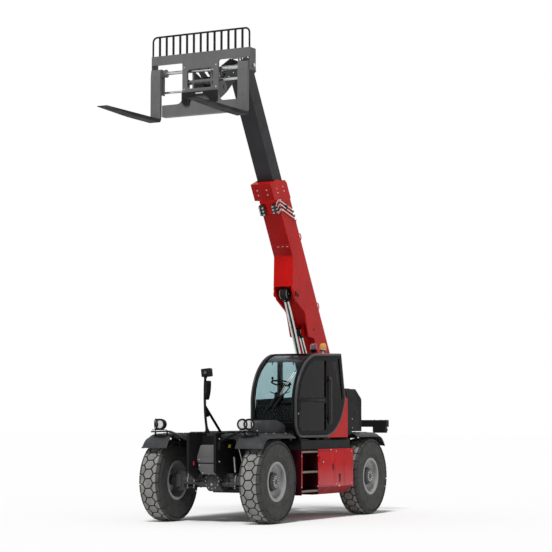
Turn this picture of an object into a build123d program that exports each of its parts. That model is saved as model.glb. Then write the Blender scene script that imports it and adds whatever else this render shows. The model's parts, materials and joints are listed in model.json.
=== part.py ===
"""Heavy telehandler: one solid per sub-part, at full size.

The model's own frame: the front points to -Y, the driver's left (the cab) to +X and +Z up.
Pieces are drawn from the middle of the wheelbase on the ground and shifted along Y when
written, so that the origin lies under the middle of the whole machine.
"""
from build123d import *
from math import atan2, cos, degrees, hypot, radians, sin
import os

# Running gear
WHEELBASE = 3950
TRACK = 2050
TYRE_R = 745
TYRE_WIDTH = 430
TREAD_HALF = 185
SHOULDER_DROP = 45
BEAD_R = 338
RIM_FLANGE_R = 358
RIM_HALF = 181
RIM_WALL = 22
DISC_T = 24
DISC_X = 45
HUB_R = 150
HUB_NOSE = 95
KINGPIN_INSET = 225
KINGPIN_R = 32
KNUCKLE_R = 95
YOKE_GAP = 115
YOKE_T = 55
SPINDLE_R = 85
AXLE_TUBE_R = 105
DIFF_R = 190
FIT = 0.05
CLEAR = 0.3
GAP = 6
HINGE_R = 12
HINGE_T = 8
HINGE_LENGTH = 60

# Chassis
PLATE_IN = 255
PLATE_T = 30
FRAME_FRONT = 2560
FRAME_REAR = 2960
FRAME_BOTTOM = 520
FRAME_TOP = 1120
NOSE_TOP = 1600
WELL_BACK = 2090
WELL_TOP = 1560
BELLY_T = 20
HITCH_R = 20

# Boom: u runs along it from its main pin, v across it, towards its back
BOOM_ANGLE = 59.5
PIVOT_Y = 2536
PIVOT_Z = 2150
PIVOT_R = 60
PIVOT_HUB_R = 110
OUTER_HALF = 205
OUTER_V = 236
OUTER_WALL = 12
OUTER_TAIL = 260
COLLAR_U = 5060
INNER_HALF = 170
INNER_V = 165
INNER_WALL = 12
INNER_TAIL = 2400
NECK_START = 6600
FLARE_END = 7330
FLARE_V = 255
HEAD_ROOM = 15
PAD_LENGTH = 220
SLIDE_IN = 2200
SLIDE_OUT = 1100

# Lift cylinder and the smaller compensation cylinder behind it
LIFT_EYE_U = 2790
LIFT_EYE_V = -530
LIFT_BASE_Y = 2150
LIFT_BASE_Z = 1220
LIFT_BARREL = 2080
LIFT_BARREL_R = 110
LIFT_ROD_R = 56
LIFT_EYE_R = 105
LIFT_EYE_HALF = 75
LIFT_RETRACT = 1042
COMP_EYE_U = 1855
COMP_EYE_V = -354
COMP_BASE_Y = 2450
COMP_BASE_Z = 1500
COMP_BARREL = 1480
COMP_BARREL_R = 62
COMP_ROD_R = 42
COMP_EYE_R = 70
COMP_EYE_HALF = 45
COMP_RETRACT = 628
CYLINDER_PIN_R = 38
CHEEK_IN = 180
CHEEK_T = 30

# Boom head, carriage and forks
NECK_IN = 148
NECK_T = 22
HEAD_U = 7300
HEAD_V = -1100
HEAD_PIN_R = 45
HEAD_HUB_R = 120
TILT_BASE_AHEAD = 15
TILT_BASE_V = -95
TILT_LEVER = 200
TILT_LEVER_ANGLE = 40
TILT_BARREL = 720
TILT_RETRACT = 240
TILT_BARREL_R = 60
TILT_ROD_R = 38
TILT_EYE_R = 62
TILT_EYE_HALF = 76
CARRIAGE_Y = -2655
CARRIAGE_T = 45
CARRIAGE_DEPTH = 215
CARRIAGE_HALF = 1025
END_T = 12
CARRIAGE_TOP = 8458
CARRIAGE_BOTTOM = 7330
TOP_BEAM = 165
PANEL_HALF = 372
WINDOW_HALF = 270
WINDOW_FOOT = 7808
WINDOW_TOP = 8163
LOWER_BEAM = 215
GUARD_HEIGHT = 372
GUARD_BARS = 15
GUARD_BAR = 22
SHAFT_Z = 8146
SHAFT_R = 34
FORK_X = 905
FORK_WIDTH = 200
FORK_T = 65
FORK_TIP_Y = -4480
FORK_TOP = 7290
FORK_TRAVEL = 360
ROD_Z = {1: 7940, -1: 7790}
POSITIONER_R = 42
POSITIONER_ROD_R = 22

# Cab
CAB_IN = 265
CAB_OUT = 1200
CAB_WALL = 42
CAB_FLOOR = 1525
CAB_FRONT = 1220
CAB_ROOF = 3095
ROOF_DROP = 35
ROOF_FRONT_Y = -447
ROOF_REAR_Y = 661
PILLAR_Y = 90
DOOR_GAP = 6
GLASS_T = 6
GLASS_SEAT = 0.3
SEAT_WIDTH = 480

# Left side below the cab
SIDE_OUT = 1240
BOX_IN = 640
BOX_FRONT = 400
BOX_WHEEL_GAP = 135
BOX_TOP = 1300
BOX_BOTTOM = 585
BOX_KEEL = 460
BOX_DOOR_Y = 270
BOX_DOOR_T = 22
STEP_WHEEL_GAP = 145
STEP_FOOT = 470
STEP_T = 12
STEP_TREADS = (550, 900, 1267)

# Right side: engine bay with its block
BAY_IN = 345
BAY_FRONT_GAP = 230
BAY_REAR_GAP = 140
BAY_WALL = 10
HOOD_SPLIT = 1330
HOOD_TOP = 1620
ENGINE_LENGTH = 1150
ENGINE_WIDTH = 560
ENGINE_HEIGHT = 620

# Rear housing behind the cab
HOUSING_IN = 300
HOUSING_OUT = 1100
HOUSING_FRONT = 1050
HOUSING_REAR = 1780
HOUSING_TOP = 2440

# Fenders, lamps and mast
FENDER_OUT = 1245
FENDER_IN = 700
FENDER_TOP = 1600
FENDER_LIP = 2615
FENDER_LIP_Z = 1335
FENDER_T = 12
LAMP_X = 860
LAMP_Y = -2400
LAMP_Z = 1760
LAMP_R = 75
MAST_X = -350
MAST_Y = -1820
MAST_TOP = 2700
BEAM_Y = 3100
BEAM_DEPTH = 130
BEAM_Z = 1700
BEAM_HEIGHT = 140
BEAM_HALF = 1030

# Derived places
NECK_U = COLLAR_U + SLIDE_IN + HEAD_ROOM
FLARE_U = NECK_U - 195
TILT_BASE_U = NECK_U + TILT_BASE_AHEAD
INNER_END = TILT_BASE_U - TILT_EYE_R - 8
WHEEL_EDGE = WHEELBASE / 2 - TYRE_R
BOX_REAR = WHEEL_EDGE - BOX_WHEEL_GAP
STEP_FRONT = WHEEL_EDGE - STEP_WHEEL_GAP
BAY_FRONT = WHEEL_EDGE - BAY_FRONT_GAP
BAY_REAR = WHEEL_EDGE - BAY_REAR_GAP
LOWER_BEAM_TOP = CARRIAGE_BOTTOM + LOWER_BEAM
GUARD_TOP = CARRIAGE_TOP + GUARD_HEIGHT
SHAFT_Y = CARRIAGE_Y + CARRIAGE_T + 62
DOOR_PIN = (CAB_OUT + HINGE_R, PILLAR_Y - DOOR_GAP / 2)
DOOR_HINGES = (1900, 2600)
BOX_RIM = 30
BOX_PIN = (SIDE_OUT + HINGE_R, -BOX_FRONT + BOX_RIM + GAP / 2)
BOX_HINGES = (720, 1120)
HOOD_PIN = (-BAY_IN + HINGE_R, HOOD_TOP - 30)
AXLE_Y = {"front": -WHEELBASE / 2, "rear": WHEELBASE / 2}
SIDE_X = {"left": 1, "right": -1}
KINGPIN_X = TRACK / 2 - KINGPIN_INSET
REAR_END = BEAM_Y + BEAM_DEPTH
MIDDLE_Y = (REAR_END + FORK_TIP_Y) / 2


def boom_point(u, v):
    """The (y, z) place of a point of the boom's own plane."""
    a = radians(BOOM_ANGLE)
    return PIVOT_Y - u * cos(a) + v * sin(a), PIVOT_Z + u * sin(a) + v * cos(a)


LIFT_EYE = boom_point(LIFT_EYE_U, LIFT_EYE_V)
COMP_EYE = boom_point(COMP_EYE_U, COMP_EYE_V)
HEAD_PIN = boom_point(HEAD_U, HEAD_V)
TILT_BASE = boom_point(TILT_BASE_U, TILT_BASE_V)
TILT_EYE = (
    HEAD_PIN[0] - TILT_LEVER * cos(radians(TILT_LEVER_ANGLE)),
    HEAD_PIN[1] + TILT_LEVER * sin(radians(TILT_LEVER_ANGLE)),
)


def outline(points):
    """A flat face through points (a, b), or (a, b, corner radius)."""
    face = Polygon(*[p[:2] for p in points], align=None)
    for a, b, radius in [p for p in points if len(p) == 3]:
        face = fillet(face.vertices().sort_by_distance((a, b, 0))[0], radius)
    return face


def block_x(face, x0, x1):
    """A flat (y, z) face drawn out between two X planes."""
    return extrude(Pos(x0, 0, 0) * (Plane.YZ * face), amount=x1 - x0, dir=(1, 0, 0))


def plate_x(points, x0, x1):
    """A plate between two X planes with its outline in (y, z)."""
    return block_x(outline(points), x0, x1)


def plate_y(points, y0, y1):
    """A plate between two Y planes with its outline in (x, z)."""
    return extrude(Pos(0, y0, 0) * (Plane.XZ * outline(points)), amount=y1 - y0, dir=(0, 1, 0))


def box(x0, x1, y0, y1, z0, z1):
    """A block between two corners."""
    block = Box(x1 - x0, y1 - y0, z1 - z0)
    return Pos((x0 + x1) / 2, (y0 + y1) / 2, (z0 + z1) / 2) * block


def rod_x(x0, x1, y, z, radius):
    """A round bar along X."""
    return Pos((x0 + x1) / 2, y, z) * Rot(0, 90, 0) * Cylinder(radius, x1 - x0)


def rod(start, end, radius):
    """A round bar between two points."""
    line = Vector(*end) - Vector(*start)
    return Plane(origin=Vector(*start), z_dir=line) * Cylinder(
        radius, line.length, align=(Align.CENTER, Align.CENTER, Align.MIN)
    )


def both(shape):
    """The shape with its mirror image across the machine's middle."""
    return shape + mirror(shape, Plane.YZ)


def in_boom(shape):
    """Takes a shape drawn with the boom level, from its pin, to the boom's real place."""
    return Pos(0, PIVOT_Y, PIVOT_Z) * Rot(-BOOM_ANGLE, 0, 0) * shape


def boom_plate(points, x0, x1):
    """A plate drawn in the boom's (u, v) plane, between two X planes."""
    return in_boom(plate_x([(-p[0], *p[1:]) for p in points], x0, x1))


def boom_block(u0, u1, v, half):
    """A block in the boom's frame, as far to each side of its middle line as v and half say."""
    return boom_plate([(u0, -v), (u0, v), (u1, v), (u1, -v)], -half, half)


def boom_rod_x(x0, x1, u, v, radius):
    """A round bar along X through a point of the boom's plane."""
    return rod_x(x0, x1, *boom_point(u, v), radius)


def hinge_leaf(pin, along, reach, half):
    """Half of a hinge: a knuckle round its pin's place and a strap to what it carries.

    The knuckle lies above its pin's place for half = 1 and below it for half = -1. The strap's far
    corner is reach, in the plane across the pin.
    """
    x, y, z = pin
    s0, s1 = (CLEAR / 2, HINGE_LENGTH) if half > 0 else (-HINGE_LENGTH, -CLEAR / 2)
    turn = Rot(-90, 0, 0) if along == "y" else Rot(0, 0, 0)
    knuckle_part = Pos(x, y, z) * turn * Pos(0, 0, (s0 + s1) / 2) * Cylinder(HINGE_R, s1 - s0)
    if along == "y":
        x0, x1 = sorted((x, reach[0]))
        z0, z1 = sorted((z + (HINGE_R - HINGE_T if half > 0 else -HINGE_R), reach[1]))
        return knuckle_part + box(x0, x1, y + s0, y + s1, z0, max(z1, z0 + HINGE_T))
    y0, y1 = sorted((y, reach[1]))
    x0, x1 = sorted((x - HINGE_R, reach[0]))
    return knuckle_part + box(x0, max(x1, x0 + HINGE_T), y0, y1, z + s0, z + s1)


def tyre(end, side):
    """One tyre, closed inside, on its rim's bead seat."""
    inner = BEAD_R + CLEAR
    half = TYRE_WIDTH / 2
    profile = outline([
        (-RIM_HALF + RIM_WALL, inner), (RIM_HALF - RIM_WALL, inner),
        (RIM_HALF - RIM_WALL, RIM_FLANGE_R + 14), (half, 500, 60), (half - 12, TYRE_R - SHOULDER_DROP, 20),
        (TREAD_HALF, TYRE_R), (-TREAD_HALF, TYRE_R),
        (-half + 12, TYRE_R - SHOULDER_DROP, 20), (-half, 500, 60),
        (-RIM_HALF + RIM_WALL, RIM_FLANGE_R + 14),
    ])
    solid = revolve(profile, Axis.X)
    return Pos(SIDE_X[side] * TRACK / 2, AXLE_Y[end], TYRE_R) * solid


def wheel_rim(end, side):
    """Rim, dished disc and hub of one wheel, bored for its spindle."""
    barrel = outline([
        (-RIM_HALF, BEAD_R - 26), (RIM_HALF, BEAD_R - 26), (RIM_HALF, RIM_FLANGE_R),
        (RIM_HALF - RIM_WALL + 1, RIM_FLANGE_R), (RIM_HALF - RIM_WALL + 1, BEAD_R),
        (-RIM_HALF + RIM_WALL - 1, BEAD_R), (-RIM_HALF + RIM_WALL - 1, RIM_FLANGE_R),
        (-RIM_HALF, RIM_FLANGE_R),
    ])
    disc = outline([
        (DISC_X, SPINDLE_R + FIT), (DISC_X + DISC_T, SPINDLE_R + FIT), (DISC_X + DISC_T, 260),
        (DISC_X + DISC_T + 40, BEAD_R - 20), (DISC_X + 40, BEAD_R - 20), (DISC_X, 260),
    ])
    hub = outline([
        (-40, SPINDLE_R + FIT), (DISC_X + DISC_T, SPINDLE_R + FIT), (DISC_X + DISC_T, 0),
        (DISC_X + DISC_T + HUB_NOSE, 0), (DISC_X + DISC_T + HUB_NOSE, HUB_R - 35),
        (DISC_X + DISC_T + HUB_NOSE - 30, HUB_R), (-40, HUB_R),
    ])
    solid = revolve(barrel, Axis.X) + revolve(disc, Axis.X) + revolve(hub, Axis.X)
    if side == "right":
        solid = mirror(solid, Plane.YZ)
    return Pos(SIDE_X[side] * TRACK / 2, AXLE_Y[end], TYRE_R) * solid


def knuckle(end, side):
    """Steering knuckle: body between the yoke's arms, its kingpins and the wheel's spindle."""
    reach = KINGPIN_INSET + DISC_X + DISC_T - 4
    body = Cylinder(KNUCKLE_R, 2 * (YOKE_GAP - CLEAR))
    pins = Cylinder(KINGPIN_R, 2 * (YOKE_GAP + YOKE_T))
    spindle = rod_x(0, reach, 0, 0, SPINDLE_R)
    flange = rod_x(70, 105, 0, 0, YOKE_GAP - GAP)
    solid = body + pins + spindle + flange
    if side == "right":
        solid = mirror(solid, Plane.YZ)
    return Pos(SIDE_X[side] * KINGPIN_X, AXLE_Y[end], TYRE_R) * solid


def axle(end):
    """Steering axle beam with its differential housing, yokes and frame pads."""
    arm_in = KNUCKLE_R + 35
    beam = rod_x(-KINGPIN_X + arm_in, KINGPIN_X - arm_in, 0, 0, AXLE_TUBE_R)
    housing = rod_x(-150, 150, 0, 0, DIFF_R) + Rot(90, 0, 0) * Cylinder(DIFF_R * 0.8, 2 * DIFF_R)
    root_z = YOKE_GAP + YOKE_T
    root = box(KINGPIN_X - arm_in - 60, KINGPIN_X - arm_in + 30, -90, 90, -root_z, root_z)
    arm = box(KINGPIN_X - arm_in - 20, KINGPIN_X, -60, 60, YOKE_GAP, YOKE_GAP + YOKE_T)
    arm += Pos(KINGPIN_X, 0, YOKE_GAP + YOKE_T / 2) * Cylinder(60, YOKE_T)
    arm -= Pos(KINGPIN_X, 0, YOKE_GAP + YOKE_T / 2) * Cylinder(KINGPIN_R + FIT, YOKE_T)
    pad = box(PLATE_IN, PLATE_IN + PLATE_T + 90, -110, 110, 60, FRAME_TOP - 240 - TYRE_R)
    solid = beam + housing + both(root + arm + mirror(arm, Plane.XY)) + both(pad)
    return Pos(0, AXLE_Y[end], TYRE_R) * solid


def chassis_frame():
    """Two side plates with rear towers for the boom, belly, well and cross plates."""
    axle_top = FRAME_TOP - 240
    side = [
        (-FRAME_FRONT, 900), (-FRAME_FRONT, NOSE_TOP, 40), (-WELL_BACK + 60, NOSE_TOP),
        (-1560, FRAME_TOP, 120),
        (1500, FRAME_TOP, 200), (PIVOT_Y - 330, PIVOT_Z - 60, 120), (PIVOT_Y - 150, PIVOT_Z + 190, 60),
        (PIVOT_Y + 150, PIVOT_Z + 190, 60), (FRAME_REAR, 1500, 80), (FRAME_REAR, 700, 60),
        (AXLE_Y["rear"] + 330, 640), (AXLE_Y["rear"] + 240, axle_top, 60),
        (AXLE_Y["rear"] - 240, axle_top, 60),
        (AXLE_Y["rear"] - 330, FRAME_BOTTOM), (AXLE_Y["front"] + 330, FRAME_BOTTOM),
        (AXLE_Y["front"] + 240, axle_top, 60), (AXLE_Y["front"] - 240, axle_top, 60),
        (AXLE_Y["front"] - 330, 760),
    ]
    x1 = PLATE_IN + PLATE_T
    plate = plate_x(side, PLATE_IN, x1)
    plate -= rod_x(PLATE_IN - 1, x1 + 1, PIVOT_Y, PIVOT_Z, PIVOT_R + FIT)
    solid = both(plate)
    y0, y1 = AXLE_Y["front"] + 340, AXLE_Y["rear"] - 340
    solid += box(-PLATE_IN, PLATE_IN, y0, y1, FRAME_BOTTOM, FRAME_BOTTOM + BELLY_T)
    well_floor = TYRE_R + DIFF_R + 15
    solid += box(-PLATE_IN, PLATE_IN, -WELL_BACK, -WELL_BACK + 20, well_floor, WELL_TOP)
    solid += box(-PLATE_IN, PLATE_IN, -WELL_BACK - 200, -WELL_BACK, well_floor, well_floor + 20)
    solid += box(-PLATE_IN, PLATE_IN, FRAME_REAR - 50, FRAME_REAR, 700, 1500)
    solid += rod_x(-PLATE_IN, PLATE_IN, LIFT_BASE_Y, LIFT_BASE_Z, CYLINDER_PIN_R)
    solid += rod_x(-PLATE_IN, PLATE_IN, COMP_BASE_Y, COMP_BASE_Z, CYLINDER_PIN_R)
    solid += rod_x(-PLATE_IN, PLATE_IN, 300, FRAME_BOTTOM + 110, 50)
    hitch = box(-70, 70, FRAME_REAR, FRAME_REAR + 110, 880, 1040)
    hitch -= box(-80, 80, FRAME_REAR + 20, FRAME_REAR + 120, 925, 995)
    hitch -= Pos(0, FRAME_REAR + 65, 960) * Cylinder(HITCH_R, 400)
    return solid + hitch


def front_deck():
    """Cover over the front frame beside the well, with the lamp brackets' deck."""
    outer = PLATE_IN + PLATE_T + CLEAR
    deck = box(outer, FENDER_IN - CLEAR, -2250, -CAB_FRONT - 40, FENDER_TOP - FENDER_T, FENDER_TOP)
    apron = box(outer, FENDER_IN - CLEAR, -2262, -2250, FENDER_TOP - 100, FENDER_TOP)
    return both(deck + apron)


def fenders(end):
    """A pair of flat-topped mudguards with a down-turned lip and an inner web."""
    way = -1 if end == "front" else 1
    back = CAB_FRONT + 40 if end == "front" else BOX_REAR + 250
    top, t = FENDER_TOP, FENDER_T
    points = [
        (way * back, top), (way * (FENDER_LIP - 170), top, 170), (way * FENDER_LIP, top - 130, 60),
        (way * FENDER_LIP, FENDER_LIP_Z), (way * (FENDER_LIP - t), FENDER_LIP_Z),
        (way * (FENDER_LIP - t), top - 130 - 4, 50), (way * (FENDER_LIP - 170 - 4), top - t, 160),
        (way * back, top - t),
    ]
    guard = plate_x(points, FENDER_IN, FENDER_OUT)
    stay = box(PLATE_IN + PLATE_T + CLEAR, FENDER_IN + 40, way * 2380 - 30, way * 2380 + 30,
               top - t - 60, top - t)
    return both(guard + stay)


def cab_outline(inset=0):
    """The cab's side profile as a face in (y, z)."""
    front, floor, roof = -CAB_FRONT, CAB_FLOOR, CAB_ROOF
    edges = [
        ThreePointArc((front, 2200), (-1059, 2657), (ROOF_FRONT_Y, roof - ROOF_DROP)),
        Line((ROOF_FRONT_Y, roof - ROOF_DROP), (ROOF_REAR_Y, roof)),
        Line((ROOF_REAR_Y, roof), (831, 2259)),
        ThreePointArc((831, 2259), (560, 1770), (-35, floor)),
        Line((-35, floor), (-980, floor)),
        ThreePointArc((-980, floor), (front + 70, floor + 80), (front, floor + 275)),
        Line((front, floor + 275), (front, 2200)),
    ]
    face = make_face(edges)
    return offset(face, amount=-inset) if inset else face


def cab_body(inset, x0, x1):
    """The cab's profile as a block between two X planes."""
    return block_x(cab_outline(inset), x0, x1)


def door_region():
    """Space that the cab door takes in the left wall, ahead of the middle pillar."""
    return box(CAB_OUT - CAB_WALL, CAB_OUT + 5, -CAB_FRONT - 10, PILLAR_Y, CAB_FLOOR - 10, CAB_ROOF + 10)


def cab_frame():
    """Hollow cab shell with its window and door openings cut."""
    shell = cab_body(0, CAB_IN, CAB_OUT) - cab_body(CAB_WALL, CAB_IN + CAB_WALL, CAB_OUT - CAB_WALL)
    windscreen = box(CAB_IN + 75, CAB_OUT - 75, -CAB_FRONT - 100, -420, 1790, CAB_ROOF + 60)
    shell -= windscreen
    shell -= cab_body(CAB_WALL + 12, CAB_OUT - CAB_WALL - 5, CAB_OUT + 15) & door_region()
    shell -= cab_body(95, CAB_OUT - CAB_WALL - 5, CAB_OUT + 15) & box(
        CAB_OUT - 100, CAB_OUT + 20, PILLAR_Y + 70, 900, 2250, 3200)
    shell -= cab_body(95, CAB_IN - 10, CAB_IN + CAB_WALL + 10) & box(
        CAB_IN - 20, CAB_IN + 60, -1300, 640, 2050, 3200)
    shell -= box(CAB_IN + 90, CAB_OUT - 90, 600, 900, 2330, 2960)
    for z in DOOR_HINGES:
        shell += hinge_leaf((*DOOR_PIN, z), "z", (CAB_OUT, PILLAR_Y + 50), -1)
    return shell


def cab_glass():
    """Windscreen, rear, right-hand and rear quarter panes, seated in the shell."""
    skin = cab_body(10, CAB_IN + 75 + GLASS_SEAT, CAB_OUT - 75 - GLASS_SEAT) - cab_body(
        10 + GLASS_T, CAB_IN, CAB_OUT)
    screen = skin & box(CAB_IN, CAB_OUT, -CAB_FRONT - 5, -420 - GLASS_SEAT, 1790 + GLASS_SEAT, CAB_ROOF)
    right = cab_body(95 + GLASS_SEAT, CAB_IN + 15, CAB_IN + 15 + GLASS_T) & box(
        CAB_IN, CAB_IN + 60, -1300, 640 - GLASS_SEAT, 2050 + GLASS_SEAT, 3200)
    quarter = cab_body(95 + GLASS_SEAT, CAB_OUT - 21, CAB_OUT - 21 + GLASS_T) & box(
        CAB_OUT - 60, CAB_OUT, PILLAR_Y + 70 + GLASS_SEAT, 900, 2250 + GLASS_SEAT, 3200)
    rear = cab_body(10, CAB_IN + 90 + GLASS_SEAT, CAB_OUT - 90 - GLASS_SEAT) - cab_body(
        10 + GLASS_T, CAB_IN, CAB_OUT)
    rear &= box(CAB_IN, CAB_OUT, 600, 900, 2331, 2959)
    return [screen, right, quarter, rear]


def cab_door():
    """Door leaf with an upper and a lower window, hinged at the middle pillar."""
    leaf = cab_body(CAB_WALL + 12 + DOOR_GAP, CAB_OUT - CAB_WALL + 4, CAB_OUT)
    leaf &= box(CAB_OUT - CAB_WALL, CAB_OUT + 5, -CAB_FRONT, PILLAR_Y - DOOR_GAP, CAB_FLOOR, CAB_ROOF)
    opening = cab_body(CAB_WALL + 12 + DOOR_GAP + 55, CAB_OUT - CAB_WALL - 10, CAB_OUT + 20)
    upper = opening & box(CAB_OUT - 80, CAB_OUT + 20, -1300, PILLAR_Y - 70, 2250, 3200)
    lower = opening & box(CAB_OUT - 80, CAB_OUT + 20, -1300, PILLAR_Y - 70, 1500, 2165)
    leaf -= upper + lower
    for z in DOOR_HINGES:
        leaf += hinge_leaf((*DOOR_PIN, z), "z", (CAB_OUT, PILLAR_Y - DOOR_GAP - 50), 1)
    return leaf


def door_glass():
    """The door's two panes."""
    pane = cab_body(CAB_WALL + 12 + DOOR_GAP + 55 + GLASS_SEAT, CAB_OUT - 22, CAB_OUT - 22 + GLASS_T)
    back = PILLAR_Y - 70 - GLASS_SEAT
    upper = pane & box(CAB_OUT - 80, CAB_OUT + 20, -1300, back, 2250 + GLASS_SEAT, 3200)
    lower = pane & box(CAB_OUT - 80, CAB_OUT + 20, -1300, back, 1500, 2165 - GLASS_SEAT)
    return [upper, lower]


def operator_seat():
    """Seat on its box, closed cushions."""
    middle = (CAB_IN + CAB_OUT) / 2
    half = SEAT_WIDTH / 2
    floor = CAB_FLOOR + CAB_WALL
    seat = box(middle - half + 60, middle + half - 60, -380, -60, floor + CLEAR, floor + 260)
    seat += box(middle - half, middle + half, -400, 150, floor + 260, floor + 400)
    back = plate_x([(70, floor + 380), (190, floor + 380), (330, floor + 1120, 40), (220, floor + 1120, 40)],
                   middle - half, middle + half)
    return seat + back


def steering_console():
    """Dash and steering column with its wheel."""
    middle = (CAB_IN + CAB_OUT) / 2
    floor = CAB_FLOOR + CAB_WALL
    dash = plate_x([(-930, floor + CLEAR), (-800, floor + CLEAR), (-800, floor + 560, 30),
                    (-1100, floor + 560, 30), (-1100, floor + 360)], middle - 180, middle + 180)
    column = rod((middle, -860, floor + 480), (middle, -640, floor + 700), 35)
    wheel = Plane(origin=(middle, -640, floor + 700), z_dir=(0, 1, 1)) * Torus(185, 16)
    cross = Box(370, 30, 16) + Box(30, 370, 16)
    spokes = Plane(origin=(middle, -640, floor + 700), z_dir=(0, 1, 1)) * cross
    return dash + column + wheel + spokes


def side_panel():
    """Crescent cover that fills between the cab's rounded rear corner and the rear housing."""
    inset = -CLEAR
    block = box(CAB_OUT - 320, CAB_OUT - 5, 60, 958, CAB_FLOOR - 12, 2259)
    block -= cab_body(inset, 0, 1400)
    block -= box(0, 1400, -100, 90, 1400, 3000)
    return block


def rear_housing():
    """Closed housing behind the cab on the left."""
    points = [
        (HOUSING_FRONT, BOX_TOP + 250), (HOUSING_FRONT, HOUSING_TOP, 60), (1500, HOUSING_TOP, 60),
        (HOUSING_REAR, 2250, 60), (HOUSING_REAR, 1620), (1340, 1620), (1340, BOX_TOP + 250),
    ]
    foot = box(PLATE_IN + PLATE_T + CLEAR, HOUSING_IN + 80, 1120, 1320, FRAME_TOP - 200, BOX_TOP + 260)
    return plate_x(points, HOUSING_IN, HOUSING_OUT) + foot


def side_box():
    """Tank and battery box below the cab with a recess for its door."""
    points = [(-BOX_FRONT, BOX_BOTTOM), (-BOX_FRONT, BOX_TOP), (BOX_REAR, BOX_TOP, 20),
              (BOX_REAR, BOX_BOTTOM, 20)]
    body = plate_x(points, BOX_IN, SIDE_OUT)
    keel = plate_y([(BOX_IN, BOX_KEEL), (SIDE_OUT - 140, BOX_KEEL), (SIDE_OUT, BOX_BOTTOM),
                    (BOX_IN, BOX_BOTTOM)],
                   -BOX_FRONT, BOX_REAR - 60)
    solid = body + keel
    solid -= box(BOX_IN + 60, SIDE_OUT + 1, -BOX_FRONT + BOX_RIM, BOX_DOOR_Y, BOX_BOTTOM + BOX_RIM,
                 BOX_TOP - BOX_RIM)
    for z in BOX_HINGES:
        solid += hinge_leaf((*BOX_PIN, z), "z", (SIDE_OUT, -BOX_FRONT + 4), -1)
    bracket = box(PLATE_IN + PLATE_T + CLEAR, BOX_IN, -200, -80, 700, 1000)
    bracket += box(PLATE_IN + PLATE_T + CLEAR, BOX_IN, 700, 820, 700, 1000)
    return solid + bracket


def side_box_door():
    """Door of the battery box, hinged at its front edge."""
    leaf = box(SIDE_OUT - BOX_DOOR_T, SIDE_OUT, -BOX_FRONT + BOX_RIM + GAP, BOX_DOOR_Y - GAP,
               BOX_BOTTOM + BOX_RIM + GAP, BOX_TOP - BOX_RIM - GAP)
    for z in BOX_HINGES:
        leaf += hinge_leaf((*BOX_PIN, z), "z", (SIDE_OUT, BOX_PIN[1] + GAP / 2 + 40), 1)
    return leaf


def access_steps():
    """Ladder up to the cab: two cheeks, a back plate and three treads."""
    inner = SIDE_OUT - 260
    solid = box(inner, SIDE_OUT, -STEP_FRONT, -STEP_FRONT + STEP_T, STEP_FOOT, BOX_TOP)
    solid += box(inner, SIDE_OUT, -BOX_FRONT - STEP_T - CLEAR, -BOX_FRONT - CLEAR, STEP_FOOT, BOX_TOP)
    solid += box(inner - STEP_T, inner, -STEP_FRONT, -BOX_FRONT - CLEAR, STEP_FOOT, BOX_TOP)
    for height in STEP_TREADS:
        solid += box(inner, SIDE_OUT - 10, -STEP_FRONT, -BOX_FRONT - CLEAR, height - 25, height)
    return solid + box(PLATE_IN + PLATE_T + CLEAR, inner, -800, -700, 700, 900)


def cab_mounts():
    """Sill plate that carries the cab above the side box, with its rubber feet."""
    sill = box(PLATE_IN + PLATE_T + CLEAR, CAB_OUT, -1000, 1040, BOX_TOP + CLEAR, CAB_FLOOR - 60)
    for y in (-850, -150):
        sill += box(350, 500, y - 50, y + 50, CAB_FLOOR - 60, CAB_FLOOR - CLEAR)
        sill += box(950, 1100, y - 50, y + 50, CAB_FLOOR - 60, CAB_FLOOR - CLEAR)
    return sill


def engine_bay():
    """Open-topped bay on the right for the engine, carried by the frame plate."""
    x0, x1 = -SIDE_OUT, -BAY_IN
    w = BAY_WALL
    solid = box(x0, x1, -BAY_FRONT, BAY_REAR, BOX_BOTTOM, HOOD_SPLIT)
    solid -= box(x0 + w, x1 - w, -BAY_FRONT + w, BAY_REAR - w, BOX_BOTTOM + w, HOOD_SPLIT + 1)
    wall_top = HOOD_PIN[1] + HINGE_R - HINGE_T - GAP
    solid += box(x1 - w, x1, -BAY_FRONT, BAY_REAR, HOOD_SPLIT - 1, wall_top)
    solid += box(x1, -PLATE_IN - PLATE_T - CLEAR, -200, -80, 700, 1000)
    solid += box(x1, -PLATE_IN - PLATE_T - CLEAR, 700, 820, 700, 1000)
    for y in (-600, 600):
        solid += hinge_leaf((x1 + HINGE_R, y, HOOD_TOP - 30), "y", (x1 - w, HOOD_TOP - 60), -1)
    return solid


def engine_hood():
    """Lid of the engine bay: top, outer side and ends, hinged along its inner edge."""
    x0, x1 = -SIDE_OUT, -BAY_IN - BAY_WALL - GAP
    w = BAY_WALL
    z0 = HOOD_SPLIT + GAP
    outer = plate_y([(x0, z0), (x0, HOOD_TOP - 60, 50), (x0 + 90, HOOD_TOP, 80), (x1, HOOD_TOP), (x1, z0)],
                    -BAY_FRONT, BAY_REAR)
    inner = plate_y([(x0 + w, z0 - 1), (x0 + w, HOOD_TOP - 60 - w, 40), (x0 + 90, HOOD_TOP - w, 70),
                     (x1 + 1, HOOD_TOP - w), (x1 + 1, z0 - 1)], -BAY_FRONT + w, BAY_REAR - w)
    solid = outer - inner + box(x1 - 1, -BAY_IN, -BAY_FRONT, BAY_REAR, HOOD_TOP - w, HOOD_TOP)
    for y in (-600, 600):
        solid += hinge_leaf((-BAY_IN + HINGE_R, y, HOOD_TOP - 30), "y", (-BAY_IN - 20, HOOD_TOP - w), 1)
    return solid


def engine_block():
    """The engine as one plain block on the bay's floor."""
    x = -(SIDE_OUT + BAY_IN) / 2
    z = BOX_BOTTOM + BAY_WALL + CLEAR
    return box(x - ENGINE_WIDTH / 2, x + ENGINE_WIDTH / 2, -ENGINE_LENGTH / 2, ENGINE_LENGTH / 2,
               z, z + ENGINE_HEIGHT)


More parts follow.
